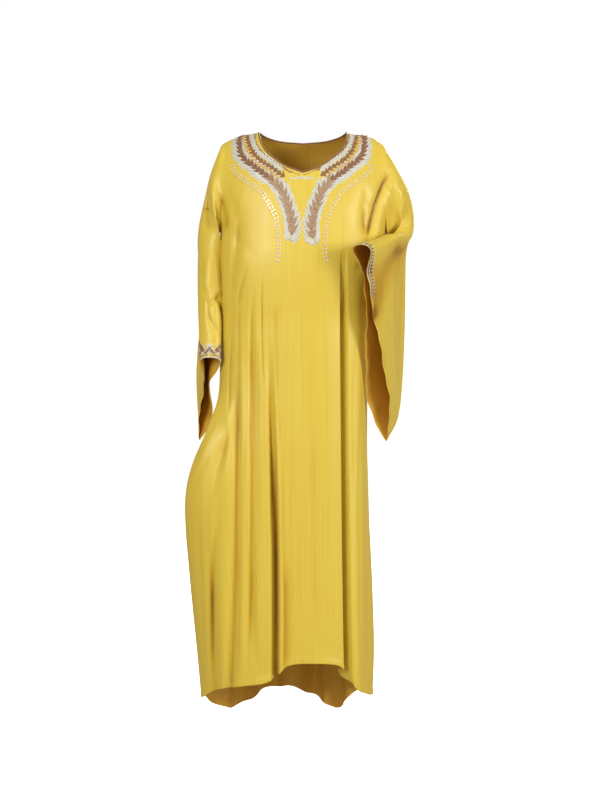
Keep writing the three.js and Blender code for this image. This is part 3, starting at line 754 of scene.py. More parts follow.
@dataclass
class ClothNet:
    """All cloth as one net of shared points, so that sewn edges meet; pieces are cut from it."""

    form: WornForm
    front_columns: int = 190
    back_columns: int = 170
    trough_passes: int = 36
    trough_full: float = 5
    side_seam: float = 1.0
    shoulder_seam: float = 0.6
    sleeve_seam: float = 0.3
    lip_rise: float = 0.5
    lip_rows: int = 4
    hem_rise: float = 0.6
    wave_rows: int = 12
    lip_wave: EdgeWave = EdgeWave(60, 9.5, 1.5, 23, 2.2)
    hem_wave: EdgeWave = EdgeWave(40, 17, 1.0, 41, 1.6)
    crease_ends: tuple[float, float, float] = (0.05, 0.35, 0.3)  # how far past its ends, and its two fades
    arm_crease_reach: tuple[float, float] = (0.95, 0.3)
    arm_crease_x: float = 130
    facing_y: float = -0.1
    front_neck: Table = table(
        "share x z",
        (0, 112, -1), (0.2, 107, -24), (0.4, 94, -48), (0.6, 70, -69), (0.8, 38, -89), (1, 0, -102),
    )
    back_neck: Table = table(
        "share x z",
        (0, 112, -1), (0.3, 92, -14), (0.6, 56, -24), (1, 0, -29),
    )
    front_hem: Table = table(
        "x z",
        (-265, -1432), (-227, -1396), (-154, -1374), (-94, -1362), (-66, -1345), (-37, -1318),
        (18, -1312), (84, -1318), (106, -1338), (130, -1385), (156, -1404), (180, -1424),
    )
    back_hem: Table = table(
        "x z",
        (-265, -1432), (-252, -1470), (-220, -1496), (-185, -1502), (-109, -1464), (-35, -1457),
        (43, -1488), (88, -1514), (112, -1505), (150, -1450), (180, -1424),
    )
    front_folds: Table = table(
        "top_x top_z low_x low_z bow half depth flat fade_top fade_low crowd",
        (99, -270, 112, -1350, -2, 7.5, 46, 5, 300, 0, 9),
        (130, -300, 134, -1400, 3, 16, -9, 2, 200, 0, 0),
        (-90, -430, -70, -1345, 8, 8.5, 27, 4, 680, 0, 6),
        (-74, -560, -55, -1345, 8, 6, -5, 2, 300, 0, 1),
        (-128, -420, -140, -1370, 6, 10, 8, 2, 200, 200, 2),
        (-168, -560, -186, -1380, 8, 12, 13, 2, 220, 0, 2.5),
        (-150, -190, -178, -440, -6, 14, 5, 2, 110, 140, 1),
        (-196, -630, -282, -900, 0, 13, -9, 2, 90, 160, 0),
        (-180, -700, -246, -960, 0, 14, 12, 2, 90, 260, 1),
        (-236, -980, -222, -1400, 0, 13, 7, 2, 200, 0, 0),
        (166, -110, 146, -340, 0, 20, 5, 2, 110, 120, 0),
    )
    back_folds: Table = table(
        "top_x top_z low_x low_z bow half depth flat fade_top fade_low crowd",
        (-118, -260, -136, -1500, 10, 17, 24, 2.5, 420, 0, 2),
        (-62, -420, -60, -1470, -8, 14, 13, 2, 320, 0, 1),
        (6, -240, 4, -1470, 12, 18, 19, 2.5, 520, 0, 2),
        (66, -330, 58, -1490, 6, 14, 17, 2, 380, 0, 1.5),
        (116, -280, 124, -1480, -6, 15, 15, 2, 360, 0, 1.5),
        (-172, -620, -206, -1480, 8, 17, 19, 2, 260, 0, 1.5),
        (34, -820, 30, -1480, 0, 16, -7, 2, 260, 0, 0),
        (-98, -760, -100, -1480, 0, 16, -8, 2, 260, 0, 0),
    )
    front_creases: Table = table(
        "ax az bx bz bow half depth",
        (-152, -190, -178, -420, 4, 7, 2.4),
        (-140, -335, -160, -430, 2, 4, 3.2),
        (-156, -400, -160, -770, 3, 4, 2.8),
        (-143, -470, -150, -930, -3, 3.6, 2.3),
        (-124, -385, -130, -820, 3, 4.2, 3.0),
        (-111, -480, -114, -1020, 0, 3.4, 2.2),
        (-101, -330, -98, -640, 3, 3.6, 2.1),
        (-84, -540, -78, -1000, -3, 3.6, 2.4),
        (-66, -400, -60, -660, 0, 4.5, 1.7),
        (-176, -470, -184, -700, 2, 4, 2.5),
        (-212, -900, -228, -1390, 5, 8, 3.4),
        (-160, -980, -165, -1350, 0, 7, 2.8),
        (-122, -1050, -118, -1335, 3, 7, 2.6),
        (-36, -1040, -34, -1345, 0, 9, 2.2),
        (-268, -930, -252, -1390, -4, 7, 3.4),
        (124, -420, 128, -900, 0, 4, 2.5),
        (142, -600, 147, -1380, 3, 6, 3.4),
        (159, -860, 164, -1390, -2, 6, 3.1),
        (24, -640, 30, -1290, 6, 17, 2.4),
        (62, -430, 68, -980, -5, 18, -2.4),
        (-20, -380, -16, -900, 5, 20, -2.2),
        (-184, -222, -110, -310, 8, 15, 1.6),
        (168, -262, 128, -350, -4, 9, 3.4),
        (150, -130, 176, -190, 4, 9, 2.2),
        (-186, -140, -166, -220, -3, 9, 1.8),
        (-206, -690, -270, -830, 5, 5, 3.4),
        (-228, -800, -284, -900, 4, 6, 3.0),
    )
    back_creases: Table = table(
        "ax az bx bz bow half depth",
        (-150, -170, -126, -420, 8, 12, 2.4),
        (148, -180, 118, -400, -7, 12, 2.4),
        (-88, -330, -96, -980, 5, 5, 3.2),
        (-30, -300, -36, -900, -4, 6, 2.9),
        (36, -420, 40, -1010, 4, 5, 2.7),
        (92, -520, 96, -1400, -5, 6, 3.6),
        (142, -460, 150, -1380, 4, 6, 3.6),
        (-150, -700, -168, -1460, 6, 7, 3.9),
        (-222, -860, -236, -1440, 4, 8, 4.4),
        (-12, -1000, -16, -1450, 3, 6, 3.3),
        (-84, -1060, -82, -1450, -3, 6, 3.3),
        (110, -80, 30, -200, 8, 18, 1.6),
        (-128, -90, -60, -190, -8, 16, 1.4),
        (-188, -300, -150, -380, 6, 10, 3.0),
        (182, -300, 146, -400, -5, 10, 3.0),
        (-196, -560, -262, -860, 6, 9, 4.4),
    )
    arm_creases: Table = table(
        "ax az bx bz bow half depth",
        (222, -80, 158, -276, 8, 9, 7),
        (223, -84, 157, -276, 8, 4, 3.5),
        (151, -186, 151, -264, 0, 4.5, 2.5),
        (242, -100, 180, -268, 8, 10, -4),
        (150, -150, 150, -250, 0, 10, 2),
        (266, -180, 250, -250, 3, 12, 3),
        (250, -248, 200, -256, 0, 10, 2.5),
        (-208, -150, -194, -250, -4, 9, 6),
        (-222, -128, -212, -236, -3, 13, -4),
        (-244, -150, -236, -250, 3, 9, 4),
        (-196, -396, -262, -432, -6, 6, 5),
        (-254, -400, -202, -506, 9, 7, 5),
        (-258, -446, -252, -520, 0, 5, 6),
        (-232, -300, -240, -396, 3, 13, -4),
    )

    def __post_init__(self) -> None:
        """Numbers the points, joins the grids at their seams, softens them and lays in the creases."""
        f = self.form
        grids: list[Grid] = []

        def number(grid: Grid) -> Grid:
            """Gives a grid its point numbers."""
            start = sum(map(len, grids))
            grids.append(grid.reshape(-1, 3))
            return np.arange(start, start + len(grids[-1])).reshape(grid.shape[:2])

        self.bodies: dict[Face, Grid] = {}
        self.lobes: dict[tuple[Side, Face], Grid] = {}
        self.patches: dict[str, list[Patch]] = {}
        for face, folds, neck, hem, columns in (
            (Face.FRONT, self.front_folds, self.front_neck, self.front_hem, self.front_columns),
            (Face.BACK, self.back_folds, self.back_neck, self.back_hem, self.back_columns),
        ):
            self.bodies[face] = ids = number(f.body_grid(face, folds, neck, hem, columns))
            # The threads run straight, so a panel's map is measured before its folds go in
            plain = {**folds, "depth": folds["depth"] * 0}
            flat = panel_map(f.body_grid(face, plain, neck, hem, columns))
            self.patches[f"{face.word}_panel"] = [Patch(ids, flat, face is Face.FRONT)]
        front, back = self.bodies.values()
        a, k, cut = f.armhole_rows, f.shoulder_columns, f.arm_rows
        for end in (0, -1):
            back[a:, end] = front[a:, end]
        back[0, : k + 1] = front[0, : k + 1]
        back[0, -k - 1 :] = front[0, -k - 1 :]
        for side in Side:
            column = 0 if side is Side.LEFT else -1
            for lobe, body in self.bodies.items():
                grid = f.sleeve_grid(side, lobe)
                self.lobes[side, lobe] = ids = number(grid)
                ids[0] = body[: a + 1, column]
                ids[1:, [0, -1]] = self.lobes[side, Face.FRONT][1:, [0, -1]]
                turned = (side is Side.LEFT) == (lobe is Face.FRONT)
                panel = self.patches[f"{lobe.word}_panel"]
                flat = lobe_map(grid, panel[0].map[: a + 1, column], -side.value)
                panel.append(Patch(ids[: cut + 1], flat[: cut + 1], turned))
                sleeve = self.patches.setdefault(f"sleeve_{side.word}", [])
                sleeve.append(Patch(ids[cut:], flat[cut:], turned))
        self.points = np.concatenate(grids)
        self.quads = np.concatenate([self.faces_of(name) for name in self.patches])
        self.soften()
        self.lay_creases()
        self.wave_edges()

    def faces_of(self, name: str) -> Grid:
        """Faces of a cut piece, looking outwards."""
        return np.concatenate([patch.cells(patch.ids) for patch in self.patches[name]])

    def looseness(self) -> Grid:
        """How freely each point moves when the cloth is softened, from 0 to 1."""
        reach = self.form.soft_reach

        def inside(value: Grid, low: float, high: float) -> Grid:
            """1 well within a range and 0 outside it."""
            return ease((value - low) / reach) * ease((high - value) / reach)

        sideways = inside(np.abs(self.points[:, 0]), *self.form.soft_side)
        return sideways * inside(self.points[:, 2], *self.form.soft_height)

    @cached_property
    def joined(self) -> tuple[Grid, Grid]:
        """Every pair of joined points once, with the count of quads at each pair."""
        sides = np.sort(np.concatenate([self.quads[:, [i, (i + 1) % 4]] for i in range(4)]), axis=1)
        count = len(self.points)
        codes, quads = np.unique(sides[:, 0] * count + sides[:, 1], return_counts=True)
        return np.stack([codes // count, codes % count], -1), quads

    def smoothed(self, weight: Grid, passes: int) -> Grid:
        """The net's points moved towards the middle of their neighbours.

        Args:
            weight: How far each point goes in one pass, from 0 to 1.
            passes: How often they are moved.

        Returns:
            The moved points.
        """
        keys, _ = self.joined
        both = np.concatenate([keys, keys[:, ::-1]])
        own, other = both[weight[both[:, 0]] > 0].T
        moving, index = np.unique(own, return_inverse=True)
        share = np.bincount(index)[:, None]
        points = self.points.copy()
        for _ in range(passes):
            middle = np.stack([np.bincount(index, points[other, axis]) for axis in range(3)], -1) / share
            points[moving] += weight[moving, None] * (middle - points[moving])
        return points

    def soften(self) -> None:
        """Softens the cloth near the arms, its edges apart."""
        keys, quads = self.joined
        loose = self.looseness()
        loose[np.unique(keys[quads == 1])] = 0
        self.points = self.smoothed(loose / 2, self.form.soft_passes)

    def normals(self) -> Grid:
        """Outward normal of every point."""
        q, p = self.quads, self.points
        cross = np.cross(p[q[:, 2]] - p[q[:, 0]], p[q[:, 3]] - p[q[:, 1]])
        total = np.zeros_like(p)
        for corner in range(4):
            for axis in range(3):
                total[:, axis] += np.bincount(q[:, corner], cross[:, axis], len(p))
        return total / np.maximum(np.linalg.norm(total, axis=1, keepdims=True), 1e-9)

    def trough_depth(self) -> Grid:
        """How far each point lies in a trough, from 0 to 1: its depth below the cloth around it, from which the
        satin paints shade.
        """
        smooth = self.smoothed(np.ones(len(self.points)), self.trough_passes)
        depth = ((smooth - self.points) * self.normals()).sum(-1)
        return np.clip(depth / self.trough_full, 0, 1)

    def crease_depth(self, creases: Table, x: Grid, z: Grid) -> Grid:
        """Depth of the creases of a table at places seen from the front."""
        past, soft_in, soft_out = self.crease_ends
        total = np.zeros(x.shape)
        for i in range(len(creases["ax"])):
            c = {name: column[i] for name, column in creases.items()}
            run = np.array([c["bx"] - c["ax"], c["bz"] - c["az"]])
            length = np.linalg.norm(run)
            ox, oz = x - c["ax"], z - c["az"]
            t = (ox * run[0] + oz * run[1]) / length**2
            inner = np.clip(t, 0, 1)
            away = (ox * run[1] - oz * run[0]) / length - c["bow"] * 4 * inner * (1 - inner)
            fade = ease((t + past) / soft_in) * ease((1 + past - t) / soft_out)
            total += c["depth"] * fade * np.exp(-((away / c["half"]) ** 2))
        return total

    def lay_creases(self) -> None:
        """Lays the finer creases, the seams and the turned-up hems into the cloth."""
        f = self.form
        front, back = self.bodies.values()
        arms = []
        for side, reach in zip(Side, self.arm_crease_reach):
            arms.append(self.lobes[side, Face.FRONT][1 : f.arm_rows + int(f.sleeve_rows * reach)].ravel())
        facing = np.concatenate([front.ravel(), *arms])
        outer = np.abs(self.points[facing, 0]) > self.arm_crease_x
        facing = facing[(self.normals()[facing, 1] < self.facing_y) & outer]
        inwards = np.zeros(len(self.points))
        tables = (front, self.front_creases), (back, self.back_creases), (facing, self.arm_creases)
        for ids, creases in tables:
            # A point that the list names twice is moved once
            inwards[ids] += self.crease_depth(creases, self.points[ids, 0], self.points[ids, 2])
        k = f.shoulder_columns
        for end in (0, -1):
            inwards[front[f.armhole_rows :, end]] += self.side_seam
        for seam in (front[0, 1 : k - 1], front[0, -k + 1 : -1]):
            inwards[seam] += self.shoulder_seam
        for ids in self.lobes.values():
            inwards[ids[f.arm_rows]] += self.sleeve_seam
            inwards[ids[-self.lip_rows :]] -= self.lip_rise
        for ids in (front, back):
            inwards[ids[-f.hem_rows :]] -= self.hem_rise
        self.points -= self.normals() * inwards[:, None]

    def wave_edges(self) -> None:
        """Gives the sleeves' lips and the hem their small uneven waves."""
        normals = self.normals()
        fade = ease(np.linspace(0, 1, self.wave_rows))[:, None]
        edges = [
            (ids, self.lip_wave, lobe.value, 2 * side.value) for (side, lobe), ids in self.lobes.items()
        ]
        edges += [(ids, self.hem_wave, 0.7, 0) for ids in self.bodies.values()]
        for ids, w, first, second in edges:
            end = ids[-self.wave_rows :]
            s = way_along(self.points[ids[-1]], 0)
            ends = ease(s / w.fade_in) * ease((s[-1] - s) / w.fade_out)
            wave = np.sin(s / w.short + first) * w.short_height + np.sin(s / w.long + second) * w.long_height
            self.points[end] += normals[end] * (fade * (wave * ends))[..., None]


# Cut pieces


@dataclass
class ClothPieces:
    """The four cut pieces of satin as thin shells on the solids' form."""

    net: ClothNet
    satin: Material
    reverse: Material
    thickness: float = 0.9
    made: dict[str, Object] = field(default_factory=dict)

    def build(self) -> None:
        """Builds front, back and sleeves, each a shell of one sheet."""
        # How deep each point lies in a fold; the satin paints shade into its colour by it
        trough = self.net.trough_depth()
        for node, patches in self.net.patches.items():
            quads = self.net.faces_of(node)
            corners = np.concatenate([patch.cells(patch.map) for patch in patches])
            used, index = np.unique(quads, return_inverse=True)
            faces = index.reshape(quads.shape)
            finishes = [self.satin, self.reverse]
            item = make_object(f"{node}_cloth", self.net.points[used], faces, finishes, corners, trough[used])
            shell = item.modifiers.new("thickness", "SOLIDIFY")
            shell.thickness = self.thickness * MM
            shell.offset = 0
            shell.material_offset = 1
            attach(item, "root")
            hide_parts(node)
            self.made[node] = item
            area = sum(p.area for p in item.data.polygons)
            LOG.info("%s: %d faces, %.3f square metres", item.name, len(faces), area)

    def surface(self) -> BVHTree:
        """Search tree over both panels and both sleeves, in metres."""
        points, faces = [], []
        for node in ("front_panel", "back_panel", "sleeve_right", "sleeve_left"):
            mesh = self.made[node].data
            start = len(points)
            points.extend(v.co.copy() for v in mesh.vertices)
            faces.extend([start + i for i in p.vertices] for p in mesh.polygons)
        return BVHTree.FromPolygons(points, faces)


# Embroidery


@dataclass
class Shapes:
    """Points in metres and faces of small closed shapes that become one piece."""

    points: list[Vector] = field(default_factory=list)
    faces: list[tuple[int, ...]] = field(default_factory=list)

    def add(self, points: list[Vector], faces: list[tuple[int, ...]]) -> None:
        """Takes in one more shape."""
        start = len(self.points)
        self.faces.extend(tuple(start + i for i in face) for face in faces)
        self.points.extend(points)

    def piece(self, name: str, material: Material, slot: str) -> Object:
        """Makes the shapes one piece that rides on the garment."""
        item = make_object(name, np.array([p / MM for p in self.points]), self.faces, [material])
        turn_outwards(item)
        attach(item, "root")
        LOG.info("%s: %d faces", name, len(self.faces))
        return item


@dataclass(frozen=True)
class LeafChain:
    """A stem of satin-stitched leaves that lean back from it, along a part of a line."""

    line: str
    start: float
    end: float
    pitch: float
    length: float
    half: float
    lean: float
    barbs: Barbs
    shift: float
    height: float


@dataclass(frozen=True)
class CuffRow:
    """Leaves along a sleeve's opening, whose way is 1 for up from the edge, -1 for down and 0 for along."""

    side: Side
    thread: str
    above: int
    pitch: float
    length: float
    half: float
    slant: float
    way: int


BOTH, OUTER = Barbs.BOTH, Barbs.OUTER
# Name of each piece at the neckline, its thread, its slot in the record and its chains
NECK_PIECES = (
    (
        "vine_{}_leaves", "taupe", "taupe_thread",
        (
            LeafChain("vine", 0.5, 0.95, 18, 30, 6.2, 29, BOTH, -1, 2.3),
            LeafChain("vine", 0.49, 0.93, 9, 17, 4.4, 9, BOTH, 0.6, 1.6),
        ),
    ),
    (
        "brown_leaves_{}", "brown", "brown_thread",
        (
            LeafChain("vine", 0, 0.53, 13, 21, 4.3, 30, BOTH, -0.8, 2.3),
            LeafChain("vine", 0, 0.53, 6.5, 12, 3.2, 9, BOTH, 0.4, 1.7),
            LeafChain("brown_chain", 0, 1, 11.5, 16, 3.3, 36, BOTH, -0.6, 1.7),
            LeafChain("brown_chain", 0, 1, 6, 10, 2.4, 9, BOTH, 0.3, 1.3),
            LeafChain("neck_edge", 0, 0.9, 10, 16, 2.4, 22, OUTER, 0.5, 1.2),
            LeafChain("neck_edge", 0, 1, 7, 9, 1.3, 0, OUTER, 1.6, 1),
        ),
    ),
    (
        "white_leaves_{}", "white", "taupe_thread",
        (
            LeafChain("vine", 0.45, 1, 18, 41, 9.4, 26, BOTH, 2.5, 1.3),
            LeafChain("vine", 0.45, 1, 9, 28, 3.4, 36, BOTH, 7, 1.1),
            LeafChain("vine", 0, 0.53, 13, 33, 6.4, 30, OUTER, 4.5, 1.3),
            LeafChain("vine", 0.1, 0.53, 13, 28, 3.2, 46, OUTER, 8, 1.1),
            LeafChain("inner_white", 0, 1, 10, 18, 4, 34, BOTH, 0, 1.4),
            LeafChain("inner_white", 0, 1, 6, 10, 2, 8, BOTH, 0.6, 1.4),
            LeafChain("neck_white", 0, 1, 10, 16, 3.4, 32, BOTH, 0, 1.7),
            LeafChain("neck_white", 0, 1, 6, 9, 1.8, 8, BOTH, 0.5, 1.5),
            LeafChain("bar", 0, 1, 12, 17, 3.4, 24, OUTER, 0, 1.1),
        ),
    ),
    ("gold_leaves_{}", "gold", "satin", (LeafChain("brown_chain", 0.05, 1, 10, 19, 3.2, 30, OUTER, 6, 2.1),)),
)
CUFF_ROWS = (
    CuffRow(Side.RIGHT, "white", 3, 21, 60, 14.5, 0.95, 1),
    CuffRow(Side.RIGHT, "brown", 4, 21, 50, 9, 0.95, 1),
    CuffRow(Side.RIGHT, "white", 3, 21, 36, 9, -0.9, 1),
    CuffRow(Side.RIGHT, "brown", 3, 21, 29, 4.6, -0.9, 1),
    CuffRow(Side.RIGHT, "white", 2, 9, 9, 4.6, 0.1, -1),
    CuffRow(Side.RIGHT, "brown", 2, 7, 9, 1.7, 0, 0),
    CuffRow(Side.LEFT, "white", 1, 6, 9, 1.9, 0, 0),
    CuffRow(Side.LEFT, "brown", 2, 6, 9, 1.9, 0, 0),
    CuffRow(Side.LEFT, "white", 3, 6, 9, 2.1, 0, 0),
    CuffRow(Side.LEFT, "brown", 4, 9, 13, 2.4, 0.3, 1),
    CuffRow(Side.LEFT, "white", 5, 9, 15, 2.2, -0.3, 1),
)
CUFF_HEIGHTS = {"brown": 1.9, "white": 1.4}
# Along a leaf: share of its length and of its width
LEAF_PROFILE = ((0.0, 0.25), (0.22, 0.85), (0.45, 1.0), (0.7, 0.68), (0.88, 0.3), (1.0, 0.02))
# Across a leaf: share of its half width and of its height
LEAF_SECTION = ((-1.0, 0.1), (-0.5, 1.0), (0.0, 0.62), (0.5, 1.0), (1.0, 0.1))
LEAF_SINK = 0.1  # how far its underside lies below the cloth, in millimetres
LEAF_UNEVEN = 0.1  # share by which lengths vary


def leaf_rise(share: float) -> float:
    """Share of its height that a leaf reaches along its length: highest before the middle, low at the tip."""
    return 0.55 + 0.45 * math.sin(math.pi * min(share + 0.15, 1))


@dataclass
class Embroidery:
    """Raised leaf stitching laid on the cloth, most of it along lines beside the neckline."""

    surface: BVHTree
    faces_front: bool = True
    facing_y: float = 0.3
    eye_y: float = -0.8  # metres
    front_y: float = 0.02
    centre_x: float = -3.0
    line_points: int = 160
    run_reach: int = 3
    normal_reach: int = 8
    vine: Table = table(
        "x z",
        (155, -10), (154, -36), (149, -56), (138, -70), (121, -82), (105, -95), (88, -107), (71, -119),
        (57, -135), (45, -153), (37, -175), (29, -199), (25, -222), (25, -244), (29, -264), (34, -276),
    )
    inner_white: Table = table(
        "x z",
        (147, -14), (146, -34), (139, -52), (129, -65), (113, -76), (98, -90), (82, -102), (67, -113),
        (54, -124), (44, -136),
    )
    brown_chain: Table = table(
        "x z",
        (136, -8), (133, -22), (128, -36), (121, -49), (111, -62), (98, -74), (84, -82), (70, -91),
        (56, -102), (42, -111),
    )
    neck_white: Table = table(
        "x z",
        (126, -6), (123, -18), (118, -33), (110, -47), (98, -58), (83, -67), (70, -77), (56, -88),
        (42, -99),
    )
    neck_edge: Table = table(
        "x z",
        (115, -4), (112, -22), (103, -40), (89, -55), (70, -69), (52, -81), (34, -93), (14, -102),
        (0, -105),
    )
    bar: Table = table(
        "x z",
        (2, -116), (12, -117), (24, -117), (36, -115),
    )
    stones: Table = table(
        "x z",
        (172, -78), (166, -98), (138, -120), (102, -144), (86, -167), (76, -183), (67, -200), (62, -217),
        (60, -234), (58, -252), (56, -270), (56, -286), (58, -302), (62, -320),
    )

    def on_cloth(self, x: float, z: float) -> tuple[Vector, Vector]:
        """Point and normal, in metres, where the front's cloth lies behind a place seen from the front."""
        hit = self.surface.ray_cast(Vector((x * MM, self.eye_y, z * MM)), Vector((0, 1, 0)))
        if hit[0] is None or hit[0].y > self.front_y:
            hit = self.surface.find_nearest(Vector((x * MM, -self.front_y, z * MM)))
        normal = hit[1]
        return hit[0], normal if normal.y < 0 or normal.z > 0 else -normal

    def laid(self, point: Vector, height: float) -> Vector:
        """The point moved onto the cloth and raised off it, in metres."""
        location, normal, _, _ = self.surface.find_nearest(point)
        if self.faces_front and normal.y >= self.facing_y and normal.dot(point - location) < -1e-6:
            normal = -normal
        return location + normal * height

    def path(self, line: Table, side: Side) -> list[tuple[Vector, Vector, float]]:
        """Closely spaced points along a line on the cloth, with normals and the way so far in mm."""
        rows = {"share": np.linspace(0, 1, len(line["x"])), **line}
        out: list[tuple[Vector, Vector, float]] = []
        way = 0.0
        for share in np.linspace(0, 1, self.line_points):
            x = self.centre_x + side.value * float(read(rows, "share", "x", share))
            point, normal = self.on_cloth(x, float(read(rows, "share", "z", share)))
            if out:
                way += (point - out[-1][0]).length / MM
            out.append((point, normal, way))
        return out

    def stations(self, line: Table, side: Side, pitch: float) -> list[tuple[Vector, Vector, Vector, float]]:
        """Evenly spaced places on a line: point, direction, outward side and share of the way."""
        path = self.path(line, side)
        ways = np.array([way for _, _, way in path])
        found = []
        for way in np.arange(pitch / 2, ways[-1], pitch):
            i = int(np.clip(np.searchsorted(ways, way), 1, len(path) - 1))
            after = path[min(i + self.run_reach, len(path) - 1)][0]
            run = (after - path[max(i - self.run_reach, 0)][0]).normalized()
            near = path[max(i - self.normal_reach, 0) : i + self.normal_reach + 1]
            normal = sum((other for _, other, _ in near), Vector()).normalized()
            outward = run.cross(normal).normalized() * -side.value
            found.append((path[i][0], run, outward, way / ways[-1]))
        return found

    def leaf(
        self, root: Vector, heading: Vector, length: float, half: float, height: float
    ) -> tuple[list[Vector], list[tuple[int, ...]]]:
        """One satin-stitched leaf that follows the cloth, as a closed, split lozenge.

        Args:
            root: Where it starts, in metres.
            heading: Its direction there.
            length: Its length in millimetres.
            half: Its half width.
            height: Its height.

        Returns:
            Its points in metres and its faces.
        """
        top, low = [], []
        spine, before = root, 0.0
        for t, wide in LEAF_PROFILE:
            rise = leaf_rise(t)
            spine, normal, _, _ = self.surface.find_nearest(spine + heading * ((t - before) * length * MM))
            heading = (heading - normal * heading.dot(normal)).normalized()
            sideways = heading.cross(normal)
            before = t
            for across, high in LEAF_SECTION:
                flat = spine + sideways * (across * wide * half * MM)
                top.append(self.laid(flat, (high * rise * height - LEAF_SINK) * MM))
                if abs(across) < 1:
                    low.append(self.laid(flat, -LEAF_SINK * MM))
        count, n = len(LEAF_PROFILE), len(LEAF_SECTION)
        first = len(top)
        # Rows of the underside, which shares its edge with the top
        under = []
        for i in range(count):
            inner = range(first + (n - 2) * i, first + (n - 2) * (i + 1))
            under.append([n * i, *inner, n * i + n - 1])
        tip = (first - 1, *under[-1][-2:0:-1], *range(first - n, first - 1))
        faces = [(*under[0], *range(n - 2, 0, -1)), tip]
        for i in range(count - 1):
            for j in range(n - 1):
                a = i * n + j
                faces.append((a, a + 1, a + n + 1, a + n))
                faces.append((under[i][j], under[i + 1][j], under[i + 1][j + 1], under[i][j + 1]))
        return top + low, faces

    def lay_chain(self, chain: LeafChain, side: Side, shapes: Shapes) -> None:
        """Adds the leaves of one chain on one side of the garment to the shapes of a piece."""
        lean = math.radians(chain.lean)
        stations = self.stations(getattr(self, chain.line), side, chain.pitch)
        for number, (place, run, outward, share) in enumerate(stations):
            if not chain.start <= share <= chain.end:
                continue
            for hand in chain.barbs.value:
                root = place + outward * (hand * chain.shift * MM)
                heading = -run * math.cos(lean) + outward * (hand * math.sin(lean))
                heading.normalize()
                uneven = 1 + LEAF_UNEVEN * math.sin(number * 2.3 + hand)
                shapes.add(*self.leaf(root, heading, chain.length * uneven, chain.half, chain.height))


def stepped(points: list[Vector], pitch: float) -> list[tuple[Vector, Vector]]:
    """Evenly spaced points along a polyline in metres, with its direction there.

    Args:
        points: The polyline.
        pitch: Spacing in millimetres.

    Returns:
        Points and directions.
    """
    line = np.array(points)
    way = way_along(line, 0)
    count = max(int(way[-1] / (pitch * MM)), 1)
    at = (np.arange(count) + 0.5) / count * way[-1]

    def places(ways: Grid) -> Grid:
        """Points at ways along the polyline."""
        return np.stack([np.interp(ways, way, line[:, axis]) for axis in range(3)], -1)

    steps = zip(places(at), places(at + MM), places(at - MM))
    return [(Vector(p), Vector(a - b).normalized()) for p, a, b in steps]


# Repeats


def repeat_tree(name: str, shape: Repeat, sizes: dict[str, float], material: Material) -> Tree:
    """Node tree that puts one small shape at each point, turned to its own axis.

    Args:
        name: Name of the tree.
        shape: Stone or stitch.
        sizes: Named sizes in metres that become inputs.
        material: Finish of the shapes.

    Returns:
        The tree.
    """
    tree = bpy.data.node_groups.new(name, "GeometryNodeTree")
    tree.interface.new_socket("Geometry", in_out="INPUT", socket_type="NodeSocketGeometry")
    for size in sizes:
        tree.interface.new_socket(size, in_out="INPUT", socket_type="NodeSocketFloat")
    tree.interface.new_socket("Geometry", in_out="OUTPUT", socket_type="NodeSocketGeometry")

    def out(kind: str, sets: dict | None = None, **inputs: object) -> Socket:
        """First output of a new node."""
        return add_node(tree, kind, sets, **inputs).outputs[0]

    given = add_node(tree, "NodeGroupInput").outputs
    if shape is Repeat.STONE:
        ends = {"Radius_Top": given["Table"], "Radius_Bottom": given["Girdle"], "Depth": given["Height"]}
        mesh = out("GeometryNodeMeshCone", {"fill_type": "NGON"}, Vertices=8, **ends)
    else:
        ball = out("GeometryNodeMeshUVSphere", Segments=6, Rings=5, Radius=given["Width"])
        stretch = out("ShaderNodeCombineXYZ", X=1.0, Y=1.0, Z=given["Stretch"])
        mesh = out("GeometryNodeTransform", Geometry=ball, Scale=stretch)
    axis = out("GeometryNodeInputNamedAttribute", {"data_type": "FLOAT_VECTOR"}, Name="axis")
    turn = out("FunctionNodeAlignRotationToVector", {"axis": "Z"}, Vector=axis)
    spread = out("GeometryNodeInstanceOnPoints", Points=given["Geometry"], Instance=mesh, Rotation=turn)
    whole = out("GeometryNodeRealizeInstances", Geometry=spread)
    add_node(tree, "NodeGroupOutput", i0=out("GeometryNodeSetMaterial", Geometry=whole, Material=material))
    return tree


def repeat(
    name: str,
    shape: Repeat,
    places: list[tuple[Vector, Vector]],
    sizes: dict[str, float],
    material: Material,
) -> None:
    """Sets one small shape at each place with Geometry Nodes and makes the result a plain piece.

    Args:
        name: Name of the piece.
        shape: Stone or stitch.
        places: Points in metres and the axis that each shape stands along.
        sizes: Named sizes in metres.
        material: Finish.
    """
    seeds = bpy.data.meshes.new(f"{name}_places")
    seeds.from_pydata([p for p, _ in places], [], [])
    axes = seeds.attributes.new("axis", "FLOAT_VECTOR", "POINT")
    axes.data.foreach_set("vector", [value for _, axis in places for value in axis])
    carrier = add_object(f"{name}_places", seeds)
    modifier = carrier.modifiers.new("repeat", "NODES")
    modifier.node_group = repeat_tree(f"{name}_tree", shape, sizes, material)
    for socket in modifier.node_group.interface.items_tree:
        if socket.in_out == "INPUT" and socket.name in sizes:
            modifier[socket.identifier] = sizes[socket.name]
    carrier.update_tag()
    graph = bpy.context.evaluated_depsgraph_get()
    graph.update()
    mesh = bpy.data.meshes.new_from_object(carrier.evaluated_get(graph))
    mesh.name = name
    bpy.data.objects.remove(carrier)
    item = add_object(name, mesh)
    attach(item, "root")
    LOG.info("%s: %d places, %d faces", name, len(places), len(mesh.polygons))


